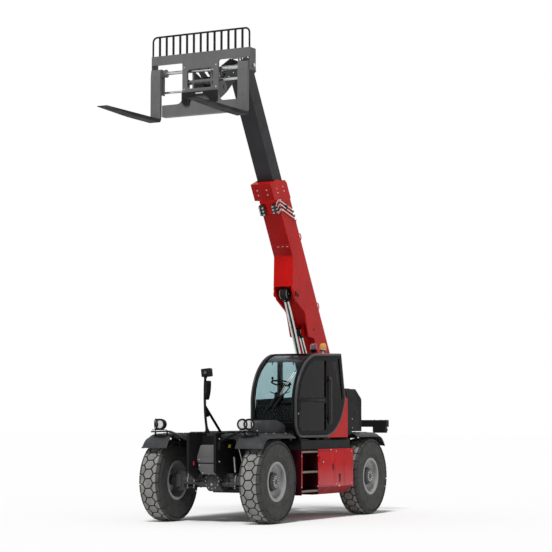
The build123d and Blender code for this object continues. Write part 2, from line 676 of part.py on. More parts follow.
def headlamps():
    """A twin round lamp on a flat bracket above each front fender."""
    lamp = Rot(90, 0, 0) * Cylinder(LAMP_R, 130)
    pair = Pos(LAMP_X - 85, LAMP_Y, LAMP_Z) * lamp
    pair += Pos(LAMP_X + 85, LAMP_Y, LAMP_Z) * Rot(0, 0, 20) * lamp
    foot = LAMP_Z - LAMP_R
    pair += box(LAMP_X - 150, LAMP_X + 150, LAMP_Y - 20, LAMP_Y + 60, foot - 12, foot + 8)
    pair += box(LAMP_X - 25, LAMP_X + 25, LAMP_Y + 20, LAMP_Y + 60, FENDER_TOP + CLEAR, LAMP_Z - LAMP_R)
    return both(pair)


def mirror_mast():
    """Post on the right front deck with its brace, mirror and camera box."""
    foot = (MAST_X, MAST_Y, FENDER_TOP + CLEAR)
    post = rod(foot, (MAST_X, MAST_Y, MAST_TOP), 28)
    base = Pos(MAST_X, MAST_Y, FENDER_TOP + CLEAR + 8) * Box(110, 160, 16)
    brace = rod((MAST_X, MAST_Y, 2150), (MAST_X, MAST_Y + 500, FENDER_TOP + 8), 22)
    head = Pos(MAST_X, MAST_Y - 20, MAST_TOP + 20) * Box(120, 150, 110)
    glass = Pos(MAST_X, MAST_Y - 50, MAST_TOP - 260) * Box(70, 60, 330)
    return post + base + (brace - box(-600, 0, -1400, 0, 0, FENDER_TOP + CLEAR)) + head + glass


def rear_light_beam():
    """Cross beam at the rear with the lamp housings hung below its ends."""
    beam = box(-BEAM_HALF, BEAM_HALF, BEAM_Y, BEAM_Y + BEAM_DEPTH, BEAM_Z, BEAM_Z + BEAM_HEIGHT)
    lamp = box(BEAM_HALF - 300, BEAM_HALF - 20, BEAM_Y, BEAM_Y + 90, BEAM_Z - 120, BEAM_Z)
    arm = box(PLATE_IN + PLATE_T + CLEAR, PLATE_IN + PLATE_T + 60, 2600, BEAM_Y, BEAM_Z, BEAM_Z + 90)
    return beam + both(lamp + arm)


def beacons():
    """Two roof beacons."""
    radius = 52
    slope = ROOF_DROP / (ROOF_REAR_Y - ROOF_FRONT_Y)
    dome = Cylinder(radius, 110, align=(Align.CENTER, Align.CENTER, Align.MIN))
    places = [(760, 60), (1010, -40)]
    return [Pos(x, y, CAB_ROOF - (ROOF_REAR_Y - y - radius) * slope + CLEAR) * dome for x, y in places]


def outer_boom():
    """Outer box section with its cheeks, eye lugs, main hub and slanted mouth collar."""
    body = boom_plate([(-OUTER_TAIL, -OUTER_V, 60), (-OUTER_TAIL, OUTER_V, 120), (COLLAR_U - 200, OUTER_V),
                       (COLLAR_U - 40, -OUTER_V)], -OUTER_HALF, OUTER_HALF)
    inner_v = OUTER_V - OUTER_WALL
    cavity = boom_block(180, COLLAR_U + 50, inner_v, OUTER_HALF - OUTER_WALL)
    half = OUTER_HALF + 10
    collar = boom_plate([(COLLAR_U - 340, -380), (COLLAR_U, -380), (COLLAR_U - 40, -100),
                         (COLLAR_U - 250, OUTER_V + 12), (COLLAR_U - 590, OUTER_V + 12),
                         (COLLAR_U - 580, 100)], -half, half)
    mouth = boom_block(4000, COLLAR_U + 90, INNER_V + CLEAR, INNER_HALF + CLEAR)
    pads = boom_plate([(COLLAR_U - 560, -inner_v), (COLLAR_U - 560, inner_v), (COLLAR_U - 260, inner_v),
                       (COLLAR_U - 60, -inner_v)], -OUTER_HALF + OUTER_WALL, OUTER_HALF - OUTER_WALL)
    cheek = boom_plate([
        (3440, -OUTER_V + 5), (2900, -575, 60), (2690, -580, 120), (2280, -330, 200), (1785, -423, 30),
        (1640, -OUTER_V + 5),
    ], CHEEK_IN, CHEEK_IN + CHEEK_T)
    cover = boom_plate([(3440, -OUTER_V + 2), (2960, -545), (2960, -520), (3430, -OUTER_V + 2)],
                       -CHEEK_IN, CHEEK_IN)
    bosses = boom_rod_x(CHEEK_IN + CHEEK_T, CHEEK_IN + CHEEK_T + 22, LIFT_EYE_U, LIFT_EYE_V, 60)
    lug = boom_plate([(COMP_EYE_U - 130, -OUTER_V + 2), (COMP_EYE_U + 130, -OUTER_V + 2),
                      (COMP_EYE_U + 70, COMP_EYE_V - 70, 50), (COMP_EYE_U - 70, COMP_EYE_V - 70, 50)],
                     COMP_EYE_HALF + 12, COMP_EYE_HALF + 37)
    bosses += boom_rod_x(COMP_EYE_HALF + 37, COMP_EYE_HALF + 55, COMP_EYE_U, COMP_EYE_V, 48)
    hub = rod_x(-PLATE_IN + GAP, PLATE_IN - GAP, PIVOT_Y, PIVOT_Z, PIVOT_HUB_R)
    pin = rod_x(-PLATE_IN - PLATE_T, PLATE_IN + PLATE_T, PIVOT_Y, PIVOT_Z, PIVOT_R)
    solid = (body - cavity) + (collar - mouth - cavity) + (pads - mouth) + both(cheek) + cover
    return solid + both(bosses) + both(lug) + hub + pin


def inner_boom():
    """Inner box section with tail pads and the down-turned head's side plates."""
    w = INNER_WALL
    body = boom_block(INNER_TAIL, INNER_END, INNER_V, INNER_HALF)
    body -= boom_block(INNER_TAIL - 1, INNER_END - 60, INNER_V - w, INNER_HALF - w)
    inner_v = OUTER_V - OUTER_WALL - CLEAR
    half = OUTER_HALF - OUTER_WALL - CLEAR
    tail = boom_block(INNER_TAIL, INNER_TAIL + PAD_LENGTH, inner_v, half)
    tail -= boom_block(INNER_TAIL - 1, INNER_TAIL + 400, INNER_V - w, INNER_HALF - w)
    neck = boom_plate([
        (NECK_START, -INNER_V + 20), (NECK_START, INNER_V - 20), (FLARE_U, INNER_V - 20),
        (FLARE_U + 15, FLARE_V), (FLARE_END, FLARE_V, 60), (NECK_U + 205, 0), (NECK_U + 215, -700),
        (HEAD_U + 110, HEAD_V + 20, 60), (HEAD_U + 40, HEAD_V - HEAD_HUB_R, 60),
        (HEAD_U - 60, HEAD_V - HEAD_HUB_R, 60), (HEAD_U - 130, HEAD_V + 60), (NECK_U, -430),
        (NECK_U, -INNER_V + 20),
    ], NECK_IN, NECK_IN + NECK_T)
    spine = boom_plate([(NECK_U - 24, -560), (HEAD_U - 110, HEAD_V + 200), (HEAD_U - 98, HEAD_V + 200),
                        (NECK_U - 12, -560)], -NECK_IN, NECK_IN)
    cap = boom_plate([(INNER_END - 1, INNER_V - 12), (INNER_END - 1, INNER_V), (FLARE_END, INNER_V),
                      (FLARE_END, INNER_V - 12)], -NECK_IN, NECK_IN)
    base_pin = boom_rod_x(-NECK_IN, NECK_IN, TILT_BASE_U, TILT_BASE_V, CYLINDER_PIN_R)
    head_hub = boom_rod_x(-NECK_IN - NECK_T, NECK_IN + NECK_T, HEAD_U, HEAD_V, HEAD_HUB_R - 20)
    solid = body + tail + both(neck) + spine + cap + base_pin + head_hub
    return solid - boom_rod_x(-400, 400, HEAD_U, HEAD_V, HEAD_PIN_R + FIT)


def cylinder_parts(base, eye, barrel_length, barrel_r, rod_r, eye_r, eye_half, retract):
    """A hydraulic cylinder in the plane X = 0: its barrel, and its rod with an open eye.

    The rod ends far enough inside the barrel to draw in by retract from the pose drawn.
    """
    dy, dz = eye[0] - base[0], eye[1] - base[1]
    length = hypot(dy, dz)
    frame = Pos(0, *base) * Rot(degrees(atan2(dz, dy)), 0, 0)

    def along(s0, s1, radius):
        return Pos(0, (s0 + s1) / 2, 0) * Rot(90, 0, 0) * Cylinder(radius, s1 - s0)

    root = rod_x(-eye_half, eye_half, 0, 0, eye_r) + along(0, eye_r + 40, barrel_r * 0.8)
    barrel = root + along(eye_r + 20, barrel_length, barrel_r)
    barrel += along(barrel_length - 110, barrel_length, barrel_r + 10)
    barrel -= rod_x(-eye_half - barrel_r, eye_half + barrel_r, 0, 0, CYLINDER_PIN_R + FIT)
    barrel -= along(eye_r + 30, barrel_length + 1, rod_r + FIT)
    head = rod_x(-eye_half, eye_half, length, 0, eye_r)
    shaft = along(eye_r + 35 + retract, length - eye_r * 0.5, rod_r)
    rod_end = head + shaft
    rod_end -= rod_x(-eye_half - 1, eye_half + 1, length, 0, CYLINDER_PIN_R + 1)
    return frame * barrel, frame * rod_end


def carriage_frame():
    """Fork carriage: front frame, deep end plates, hinge lugs, lever lugs and rod barrels."""
    y0, y1 = CARRIAGE_Y, CARRIAGE_Y + CARRIAGE_T
    h = CARRIAGE_HALF
    front = box(-h, h, y0, y1, CARRIAGE_BOTTOM, CARRIAGE_TOP)
    opening = plate_y([
        (PANEL_HALF, LOWER_BEAM_TOP, 120), (h + 1, LOWER_BEAM_TOP), (h + 1, CARRIAGE_TOP - TOP_BEAM),
        (PANEL_HALF, CARRIAGE_TOP - TOP_BEAM, 40),
    ], y0 - 1, y1 + 1)
    window = plate_y([(x, z, 60) for x, z in (
        (-WINDOW_HALF, WINDOW_FOOT), (-WINDOW_HALF, WINDOW_TOP), (WINDOW_HALF, WINDOW_TOP),
        (WINDOW_HALF, WINDOW_FOOT))], y0 - 1, y1 + 1)
    low_half = FORK_X - FORK_WIDTH / 2 - GAP
    corner = box(low_half, h + 1, y0 - 1, y1 + 1, CARRIAGE_BOTTOM - 1, LOWER_BEAM_TOP + 1)
    solid = front - both(opening) - window - both(corner)
    end = box(h - END_T, h, y0, y0 + CARRIAGE_DEPTH, SHAFT_Z - 90, CARRIAGE_TOP)
    top = box(-h, h, y0, y0 + CARRIAGE_DEPTH - 60, CARRIAGE_TOP - 25, CARRIAGE_TOP)
    low = box(-low_half, low_half, y0, y0 + 130, CARRIAGE_BOTTOM, CARRIAGE_BOTTOM + 30)
    lug = plate_x([
        (y1 - 2, LOWER_BEAM_TOP - 100), (y1 - 2, WINDOW_FOOT - 20), (y1 + 30, WINDOW_FOOT),
        (y1 + 30, HEAD_PIN[1] + 260), (HEAD_PIN[0] + 20, HEAD_PIN[1] + 110, 60),
        (HEAD_PIN[0] + 115, HEAD_PIN[1], 100), (HEAD_PIN[0] + 20, HEAD_PIN[1] - 115, 60),
    ], NECK_IN + NECK_T + GAP, NECK_IN + NECK_T + GAP + 30)
    lug += rod_x(NECK_IN + NECK_T + GAP - 5.5, NECK_IN + NECK_T + GAP, *HEAD_PIN, 85)
    lever = plate_x([
        (y1 - 2, WINDOW_TOP + 12), (y1 - 2, WINDOW_TOP + 120), (TILT_EYE[0] + 50, TILT_EYE[1] + 60, 50),
        (TILT_EYE[0] + 50, TILT_EYE[1] - 60, 50), (TILT_EYE[0] - 60, TILT_EYE[1] - 50, 30),
    ], TILT_EYE_HALF + CLEAR, TILT_EYE_HALF + 30)
    pin = rod_x(-NECK_IN - NECK_T - GAP - 45, NECK_IN + NECK_T + GAP + 45, *HEAD_PIN, HEAD_PIN_R)
    reach = PANEL_HALF - 20
    barrels = [rod_x(-reach, reach, SHAFT_Y + 10, z, POSITIONER_R) for z in ROD_Z.values()]
    clamp = box(PANEL_HALF - 60, PANEL_HALF - 35, y1 - 2, SHAFT_Y + 60, ROD_Z[-1] - 60, ROD_Z[1] + 60)
    solid += both(end) + top + low + both(lug) + both(lever) + pin
    solid += both(clamp)
    for barrel in barrels:
        solid += barrel
    for side in (1, -1):
        bore = rod_x(-PANEL_HALF + 60, PANEL_HALF + 60, SHAFT_Y + 10, ROD_Z[side], POSITIONER_ROD_R + FIT)
        solid -= bore if side > 0 else mirror(bore, Plane.YZ)
    return solid - rod_x(-h - 50, h + 50, SHAFT_Y, SHAFT_Z, SHAFT_R + FIT)


def load_guard():
    """Upright bars in a rounded frame on the carriage's top."""
    h = CARRIAGE_HALF - 25
    z0 = CARRIAGE_TOP + CLEAR
    y0 = CARRIAGE_Y + 5
    outer = plate_y([(-h, z0), (-h, GUARD_TOP, 100), (h, GUARD_TOP, 100), (h, z0)], y0, y0 + GUARD_BAR)
    inner = plate_y([(-h + 22, z0 + 22), (-h + 22, GUARD_TOP - 22, 80), (h - 22, GUARD_TOP - 22, 80),
                     (h - 22, z0 + 22)], y0 - 1, y0 + GUARD_BAR + 1)
    solid = outer - inner
    pitch = 2 * h / (GUARD_BARS - 1)
    for i in range(1, GUARD_BARS - 1):
        x = -h + i * pitch
        solid += box(x - 11, x + 11, y0, y0 + GUARD_BAR, z0, GUARD_TOP - 5)
    return solid


def fork_shaft():
    """Chrome shaft on which both forks hang and slide."""
    return rod_x(-CARRIAGE_HALF - 35, CARRIAGE_HALF + 35, SHAFT_Y, SHAFT_Z, SHAFT_R)


def fork(side):
    """One fork: boss on the shaft, shank down the carriage's front and a tapered blade."""
    front = CARRIAGE_Y - CLEAR
    y_front = front - FORK_T
    points = [
        (SHAFT_Y + 20, SHAFT_Z - 60), (SHAFT_Y + 20, SHAFT_Z + 60), (y_front + 20, SHAFT_Z + 60, 30),
        (y_front, SHAFT_Z - 80), (y_front, FORK_TOP, 30), (FORK_TIP_Y, FORK_TOP - 12),
        (FORK_TIP_Y, FORK_TOP - 24), (-3500, FORK_TOP - FORK_T), (front - 40, FORK_TOP - FORK_T, 60),
        (front, FORK_TOP + 60), (front, SHAFT_Z - 60),
    ]
    x = side * FORK_X
    solid = plate_x(points, x - FORK_WIDTH / 2, x + FORK_WIDTH / 2)
    solid += rod_x(x - FORK_WIDTH / 2, x + FORK_WIDTH / 2, SHAFT_Y, SHAFT_Z, SHAFT_R + 28)
    solid += box(x - side * 60 - 12, x - side * 60 + 12, SHAFT_Y - 40, SHAFT_Y + 50,
                 ROD_Z[side] - 45, SHAFT_Z - SHAFT_R)
    return solid - rod_x(x - FORK_WIDTH, x + FORK_WIDTH, SHAFT_Y, SHAFT_Z, SHAFT_R + FIT)


def positioner_rod(side):
    """Rod that pushes one fork along the shaft."""
    x0 = side * (PANEL_HALF - 320)
    x1 = side * (FORK_X - 60 - 12)
    return rod_x(min(x0, x1), max(x0, x1), SHAFT_Y + 10, ROD_Z[side], POSITIONER_ROD_R)


def build_parts():
    """Every sub-part by its node name."""
    parts = {
        "chassis_frame": chassis_frame(), "front_deck": front_deck(), "cab_mounts": cab_mounts(),
        "front_axle": axle("front"), "rear_axle": axle("rear"),
        "front_fenders": fenders("front"), "rear_fenders": fenders("rear"),
        "cab_frame": cab_frame(), "cab_glass": cab_glass(), "cab_door": cab_door(),
        "door_glass": door_glass(),
        "operator_seat": operator_seat(), "steering_console": steering_console(),
        "side_panel": side_panel(),
        "rear_housing": rear_housing(), "side_box": side_box(), "side_box_door": side_box_door(),
        "access_steps": access_steps(), "engine_bay": engine_bay(), "engine_hood": engine_hood(),
        "engine_block": engine_block(), "headlamps": headlamps(), "mirror_mast": mirror_mast(),
        "rear_light_beam": rear_light_beam(), "beacons": beacons(),
        "outer_boom": outer_boom(), "inner_boom": inner_boom(),
        "carriage_frame": carriage_frame(), "load_guard": load_guard(), "fork_shaft": fork_shaft(),
    }
    for end in AXLE_Y:
        for side in SIDE_X:
            parts[f"tyre_{end}_{side}"] = tyre(end, side)
            parts[f"wheel_rim_{end}_{side}"] = wheel_rim(end, side)
            parts[f"knuckle_{end}_{side}"] = knuckle(end, side)
    for side, sign in SIDE_X.items():
        parts[f"fork_{side}"] = fork(sign)
        parts[f"positioner_rod_{side}"] = positioner_rod(sign)
    cylinders = {
        "lift": ((LIFT_BASE_Y, LIFT_BASE_Z), LIFT_EYE, LIFT_BARREL, LIFT_BARREL_R, LIFT_ROD_R, LIFT_EYE_R,
                 LIFT_EYE_HALF, LIFT_RETRACT),
        "compensation": ((COMP_BASE_Y, COMP_BASE_Z), COMP_EYE, COMP_BARREL, COMP_BARREL_R, COMP_ROD_R,
                         COMP_EYE_R, COMP_EYE_HALF, COMP_RETRACT),
        "tilt": (TILT_BASE, TILT_EYE, TILT_BARREL, TILT_BARREL_R, TILT_ROD_R, TILT_EYE_R, TILT_EYE_HALF,
                 TILT_RETRACT),
    }
    for name, sizes in cylinders.items():
        parts[f"{name}_barrel"], parts[f"{name}_rod"] = cylinder_parts(*sizes)
    return parts


def as_one(shape):
    """A single shape for writing, shifted to the machine's own origin."""
    solids = []
    for piece in shape if isinstance(shape, list) else [shape]:
        solids += piece.solids()
    moved = [Pos(0, -MIDDLE_Y, 0) * solid for solid in solids]
    return moved[0] if len(moved) == 1 else Compound(children=moved)


def main():
    """Writes every sub-part to its own file."""
    os.makedirs("parts", exist_ok=True)
    for node, shape in build_parts().items():
        export_step(as_one(shape), f"parts/{node}.step")


if __name__ == "__main__":
    main()
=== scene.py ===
"""Heavy telehandler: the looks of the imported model, in its own frame, in metres.

The front points to -Y, the cab is at +X and +Z is up. Each sub-assembly is a class that holds its
sizes and builds, dresses and reports its own pieces.
"""
from __future__ import annotations

import json
import logging
from dataclasses import dataclass
from enum import Enum
from math import cos, pi, radians, sin
from typing import Callable, Iterable, Iterator, Sequence

import bmesh
import bpy
from mathutils import Matrix, Vector

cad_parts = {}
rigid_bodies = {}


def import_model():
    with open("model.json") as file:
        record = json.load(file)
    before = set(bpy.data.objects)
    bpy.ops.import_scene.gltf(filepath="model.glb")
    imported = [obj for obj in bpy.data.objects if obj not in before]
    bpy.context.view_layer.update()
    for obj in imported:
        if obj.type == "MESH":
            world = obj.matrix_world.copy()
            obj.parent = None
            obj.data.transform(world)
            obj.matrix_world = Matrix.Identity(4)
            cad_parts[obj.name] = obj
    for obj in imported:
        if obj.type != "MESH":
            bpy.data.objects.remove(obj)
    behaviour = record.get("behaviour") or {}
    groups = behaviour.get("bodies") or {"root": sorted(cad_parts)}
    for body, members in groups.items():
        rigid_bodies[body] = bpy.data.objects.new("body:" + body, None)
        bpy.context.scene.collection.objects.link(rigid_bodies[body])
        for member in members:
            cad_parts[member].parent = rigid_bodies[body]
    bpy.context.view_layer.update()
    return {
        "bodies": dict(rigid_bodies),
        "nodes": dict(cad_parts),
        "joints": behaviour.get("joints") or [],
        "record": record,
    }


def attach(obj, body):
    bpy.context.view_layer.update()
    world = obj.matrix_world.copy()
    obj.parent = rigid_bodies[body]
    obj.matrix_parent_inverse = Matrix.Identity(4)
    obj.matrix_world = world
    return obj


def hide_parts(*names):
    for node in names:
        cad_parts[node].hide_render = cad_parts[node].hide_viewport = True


logging.basicConfig(level=logging.INFO, format="%(message)s")
log = logging.getLogger("telehandler")

Colour = tuple[float, float, float]
Point = Sequence[float]
BMesh = bmesh.types.BMesh
Material = bpy.types.Material
Object = bpy.types.Object
Socket = bpy.types.NodeSocket

# The middle of the wheelbase lies this far along Y from the model's own origin
SHIFT_Y = 0.625
AXLES = {"front": SHIFT_Y - 1.975, "rear": SHIFT_Y + 1.975}
SIDES = {"left": 1, "right": -1}
WHEEL_X = 1.025
WHEEL_Z = 0.745


class Axis(Enum):
    """The direction along which a flat outline is drawn out."""

    X = "x"
    Y = "y"
    Z = "z"


# Finishes


class Graph:
    """A material's node tree in work."""

    def __init__(self, name: str) -> None:
        """Starts an empty material with a shader and an output."""
        self.material = bpy.data.materials.new(name)
        self.material.use_nodes = True
        self.tree = self.material.node_tree
        self.tree.nodes.clear()
        self.shader = self.node("ShaderNodeBsdfPrincipled")
        output = self.node("ShaderNodeOutputMaterial")
        self.tree.links.new(self.shader.outputs[0], output.inputs["Surface"])
        self.place = self.node("ShaderNodeTexCoord").outputs["Object"]

    def node(self, kind: str, **values: object) -> bpy.types.Node:
        """Adds a node and sets its properties or sockets.

        Args:
            kind: the node's type.
            values: properties of the node, or sockets with spaces written as underscores.

        Returns:
            The node.
        """
        made = self.tree.nodes.new(kind)
        for key, value in values.items():
            if hasattr(made, key):
                setattr(made, key, value)
            else:
                made.inputs[key.replace("_", " ")].default_value = value
        return made

    def link(self, source: Socket, target: Socket) -> None:
        """Joins an output to an input."""
        self.tree.links.new(source, target)

    def noise(self, scale: float, detail: float = 4.0, stretch: Point = (1, 1, 1)) -> Socket:
        """A noise pattern over the object.

        Args:
            scale: how many patches to a metre.
            detail: how many finer layers it has.
            stretch: how much denser it is along each axis.

        Returns:
            The pattern's value, from 0 to 1.
        """
        mapping = self.node("ShaderNodeMapping")
        mapping.inputs["Scale"].default_value = stretch
        self.link(self.place, mapping.inputs["Vector"])
        made = self.node("ShaderNodeTexNoise", Scale=scale, Detail=detail)
        self.link(mapping.outputs[0], made.inputs["Vector"])
        return made.outputs[0]

    def spread(self, value: Socket, low: float, high: float,
               start: float = 0.3, end: float = 0.7) -> Socket:
        """Maps the range start to end onto low to high.

        Args:
            value: what is mapped.
            low: the result at start.
            high: the result at end.
            start: the first end of the range.
            end: the last end of the range.

        Returns:
            The mapped value.
        """
        made = self.node("ShaderNodeMapRange")
        for name, number in (("From Min", start), ("From Max", end), ("To Min", low), ("To Max", high)):
            made.inputs[name].default_value = number
        self.link(value, made.inputs["Value"])
        return made.outputs["Result"]

    def maths(self, operation: str, a: Socket, b: Socket | float) -> Socket:
        """One sum of two values.

        Args:
            operation: the node's operation.
            a: the first value.
            b: the second value, or a number.

        Returns:
            The result.
        """
        made = self.node("ShaderNodeMath", operation=operation)
        self.link(a, made.inputs[0])
        if isinstance(b, Socket):
            self.link(b, made.inputs[1])
        else:
            made.inputs[1].default_value = b
        return made.outputs[0]

    def mix(self, share: Socket, a: Socket | Colour,
            b: Socket | Colour) -> Socket:
        """A mixture of two colours.

        Args:
            share: how much of the second.
            a: the first colour.
            b: the second colour.

        Returns:
            The mixed colour.
        """
        made = self.node("ShaderNodeMix", data_type="RGBA")
        self.link(share, made.inputs[0])
        for socket, colour in ((made.inputs[6], a), (made.inputs[7], b)):
            if isinstance(colour, Socket):
                self.link(colour, socket)
            else:
                socket.default_value = (*colour, 1.0)
        return made.outputs[2]

    def bump(self, *layers: tuple[Socket, float, float]) -> None:
        """Raises the surface by one or more patterns.

        Args:
            layers: each a pattern, its strength and its height in metres.
        """
        normal = None
        for value, strength, height in layers:
            made = self.node("ShaderNodeBump", Strength=strength, Distance=height)
            self.link(value, made.inputs["Height"])
            if normal:
                self.link(normal, made.inputs["Normal"])
            normal = made.outputs[0]
        self.link(normal, self.shader.inputs["Normal"])

    def worn_edge(self, radius: float) -> Socket:
        """A mask that is 1 along outer edges.

        Args:
            radius: how wide the edge is.

        Returns:
            The mask.
        """
        rounded = self.node("ShaderNodeBevel", samples=4, Radius=radius)
        flat = self.node("ShaderNodeNewGeometry")
        dot = self.node("ShaderNodeVectorMath", operation="DOT_PRODUCT")
        self.link(rounded.outputs[0], dot.inputs[0])
        self.link(flat.outputs["Normal"], dot.inputs[1])
        return self.spread(dot.outputs["Value"], 1.0, 0.0, 0.82, 0.97)

    def along(self, axis: Axis) -> Socket:
        """The place along one axis."""
        split = self.node("ShaderNodeSeparateXYZ")
        self.link(self.place, split.inputs[0])
        return split.outputs["XYZ".index(axis.name)]

    def shade(self, **values: float) -> None:
        """Sets sockets of the shader, with spaces written as underscores."""
        for key, value in values.items():
            self.shader.inputs[key.replace("_", " ")].default_value = value

    def surface(self, colour: Socket, rough: Socket) -> None:
        """Sets the shader's colour and roughness."""
        self.link(colour, self.shader.inputs["Base Color"])
        self.link(rough, self.shader.inputs["Roughness"])


def dimmed(colour: Colour, share: float) -> Colour:
    """A colour scaled by a share."""
    return tuple(c * share for c in colour)


@dataclass(frozen=True)
class Paint:
    """Sprayed steel: slight mottling, orange peel, dulled edges and a colour mixed in low down."""

    name: str
    colour: Colour
    worn: Colour
    roughness: float = 0.35
    coat: float = 0.1
    gloss: float = 0.22
    dust_and_reflection: Colour = (0.55, 0.3, 0.28)
    dust_and_reflection_top: float = 0.0
    dust_and_reflection_foot: float = 0.0
    dust_and_reflection_share: float = 0.0

    def make(self) -> Material:
        """Builds the material."""
        g = Graph(self.name)
        g.shade(Coat_Weight=self.coat, Coat_Roughness=0.12, Specular_IOR_Level=self.gloss)
        deep = dimmed(self.colour, 0.82)
        colour = g.mix(g.spread(g.noise(1.6, 5), 0.0, 1.0), self.colour, deep)
        grime = g.spread(g.noise(9.0, 8, (1, 1, 0.35)), 0.0, 0.35, 0.5, 0.8)
        colour = g.mix(grime, colour, dimmed(self.colour, 0.6))
        edge = g.maths("MULTIPLY", g.worn_edge(0.006), g.spread(g.noise(14.0), 0.0, 0.7, 0.42, 0.62))
        colour = g.mix(edge, colour, self.worn)
        rough = g.spread(g.noise(5.0, 6), self.roughness - 0.06, self.roughness + 0.1)
        # Colour mixed in low down: dusty film on the chassis, painted floor reflection on the side box
        if self.dust_and_reflection_share:
            low = g.spread(g.along(Axis.Z), 0.0, self.dust_and_reflection_share, self.dust_and_reflection_top, self.dust_and_reflection_foot)
            low = g.maths("MULTIPLY", low, g.spread(g.noise(3.0, 6), 0.75, 1.0))
            colour = g.mix(low, colour, self.dust_and_reflection)
            rough = g.maths("ADD", rough, g.maths("MULTIPLY", low, 0.3))
        g.surface(colour, rough)
        g.bump((g.noise(420.0, 2), 0.12, 0.0006), (g.noise(2.2, 3), 0.05, 0.01))
        return g.material


@dataclass(frozen=True)
class Moulding:
    """Moulded plastic or dull black steel with a fine grain."""

    name: str
    colour: Colour
    roughness: float = 0.55
    grain: float = 700.0
    faded: Colour = (0.16, 0.16, 0.16)

    def make(self) -> Material:
        """Builds the material."""
        g = Graph(self.name)
        g.shade(Specular_IOR_Level=0.08)
        fade = g.spread(g.noise(4.0, 7), 0.0, 0.25, 0.45, 0.75)
        edge = g.maths("MULTIPLY", g.worn_edge(0.005), 0.35)
        colour = g.mix(edge, g.mix(fade, self.colour, self.faded), self.faded)
        g.surface(colour, g.spread(g.noise(11.0, 5), self.roughness - 0.1, self.roughness + 0.12))
        g.bump((g.noise(self.grain, 1), 0.25, 0.0008), (g.noise(30.0, 3), 0.05, 0.004))
        return g.material


@dataclass(frozen=True)
class Rubber:
    """Tyre rubber: matt, nicked, and dusted where it rolls."""

    name: str
    colour: Colour
    # On the tyres this is only the dusty colour of the rubber.
    dust_and_reflection: Colour
    share: float

    def make(self) -> Material:
        """Builds the material."""
        g = Graph(self.name)
        g.shade(Specular_IOR_Level=0.35)
        patch = g.spread(g.noise(7.0, 9), self.share * 0.4, self.share, 0.3, 0.6)
        fine = g.spread(g.noise(60.0, 6), -0.12, 0.12)
        colour = g.mix(g.maths("ADD", patch, fine), self.colour, self.dust_and_reflection)
        g.surface(colour, g.spread(g.noise(20.0), 0.68, 0.9))
        cell = g.node("ShaderNodeTexVoronoi", Scale=70.0)
        g.link(g.place, cell.inputs["Vector"])
        g.bump((cell.outputs["Distance"], 0.12, 0.003), (g.noise(260.0, 4), 0.35, 0.0015))
        return g.material


@dataclass(frozen=True)
class Metal:
    """Bare metal: chrome, zinc or a rough casting, by its roughness and shine."""

    name: str
    colour: Colour
    roughness: float
    metallic: float = 1.0
    pits: float = 90.0
    depth: float = 0.0006

    def make(self) -> Material:
        """Builds the material."""
        g = Graph(self.name)
        g.shade(Metallic=self.metallic)
        dull = dimmed(self.colour, 0.7)
        colour = g.mix(g.spread(g.noise(12.0, 8), 0.0, 0.8, 0.4, 0.75), self.colour, dull)
        g.surface(colour, g.spread(g.noise(25.0, 6, (1, 1, 0.2)), self.roughness * 0.7, self.roughness * 1.5))
        g.bump((g.noise(self.pits, 5), 0.3, self.depth))
        return g.material


@dataclass(frozen=True)
class Pane:
    """Tinted safety glass with a thin dusty film; darker past a plane of X if one is given."""

    name: str
    tint: Colour
    dark: Colour | None = None
    dark_from: float = 0.0
    gloss: float = 0.3
    ior: float = 1.45

    def make(self) -> Material:
        """Builds the material."""
        g = Graph(self.name)
        g.shade(Transmission_Weight=1.0, IOR=self.ior, Specular_IOR_Level=self.gloss)
        haze = dimmed(self.tint, 0.9)
        colour = g.mix(g.spread(g.noise(2.5, 6), 0.0, 1.0), self.tint, haze)
        if self.dark:
            side = g.spread(g.along(Axis.X), 0.0, 1.0, self.dark_from, self.dark_from + 0.01)
            colour = g.mix(side, colour, self.dark)
        g.surface(colour, g.spread(g.noise(6.0, 8), 0.0, 0.05, 0.5, 0.8))
        g.bump((g.noise(1.5, 1), 0.04, 0.004))
        return g.material


@dataclass(frozen=True)
class Lens:
    """A moulded lamp lens with upright ribs."""

    name: str
    colour: Colour
    transmission: float = 0.5
    ribs: float = 55.0

    def make(self) -> Material:
        """Builds the material."""
        g = Graph(self.name)
        g.shade(Transmission_Weight=self.transmission, Coat_Weight=0.6)
        wave = g.node("ShaderNodeTexWave", wave_type="BANDS", bands_direction="X", Scale=self.ribs)
        g.link(g.place, wave.inputs["Vector"])
        dim = dimmed(self.colour, 0.75)
        g.surface(g.mix(wave.outputs["Fac"], self.colour, dim), g.spread(g.noise(30.0), 0.08, 0.2))
        g.bump((wave.outputs["Fac"], 0.35, 0.002))
        return g.material


@dataclass(frozen=True)
class Cloth:
    """Woven seat cloth: two crossed threads with a soft sheen."""

    name: str
    colour: Colour
    thread: Colour
    threads: float = 260.0

    def make(self) -> Material:
        """Builds the material."""
        g = Graph(self.name)
        g.shade(Sheen_Weight=0.5, Sheen_Roughness=0.5)
        rows = []
        for way in ("X", "Z"):
            wave = g.node("ShaderNodeTexWave", wave_type="BANDS", bands_direction=way, Scale=self.threads)
            wave.inputs["Distortion"].default_value = 0.4
            g.link(g.place, wave.inputs["Vector"])
            rows.append(wave.outputs["Fac"])
        weave = g.maths("MULTIPLY", rows[0], rows[1])
        colour = g.mix(weave, self.colour, self.thread)
        worn = g.spread(g.noise(6.0, 6), 0.0, 0.3, 0.45, 0.7)
        g.surface(g.mix(worn, colour, self.thread), g.spread(g.noise(40.0), 0.8, 0.95))
        g.bump((weave, 0.5, 0.0012), (g.noise(14.0, 3), 0.1, 0.004))
        return g.material


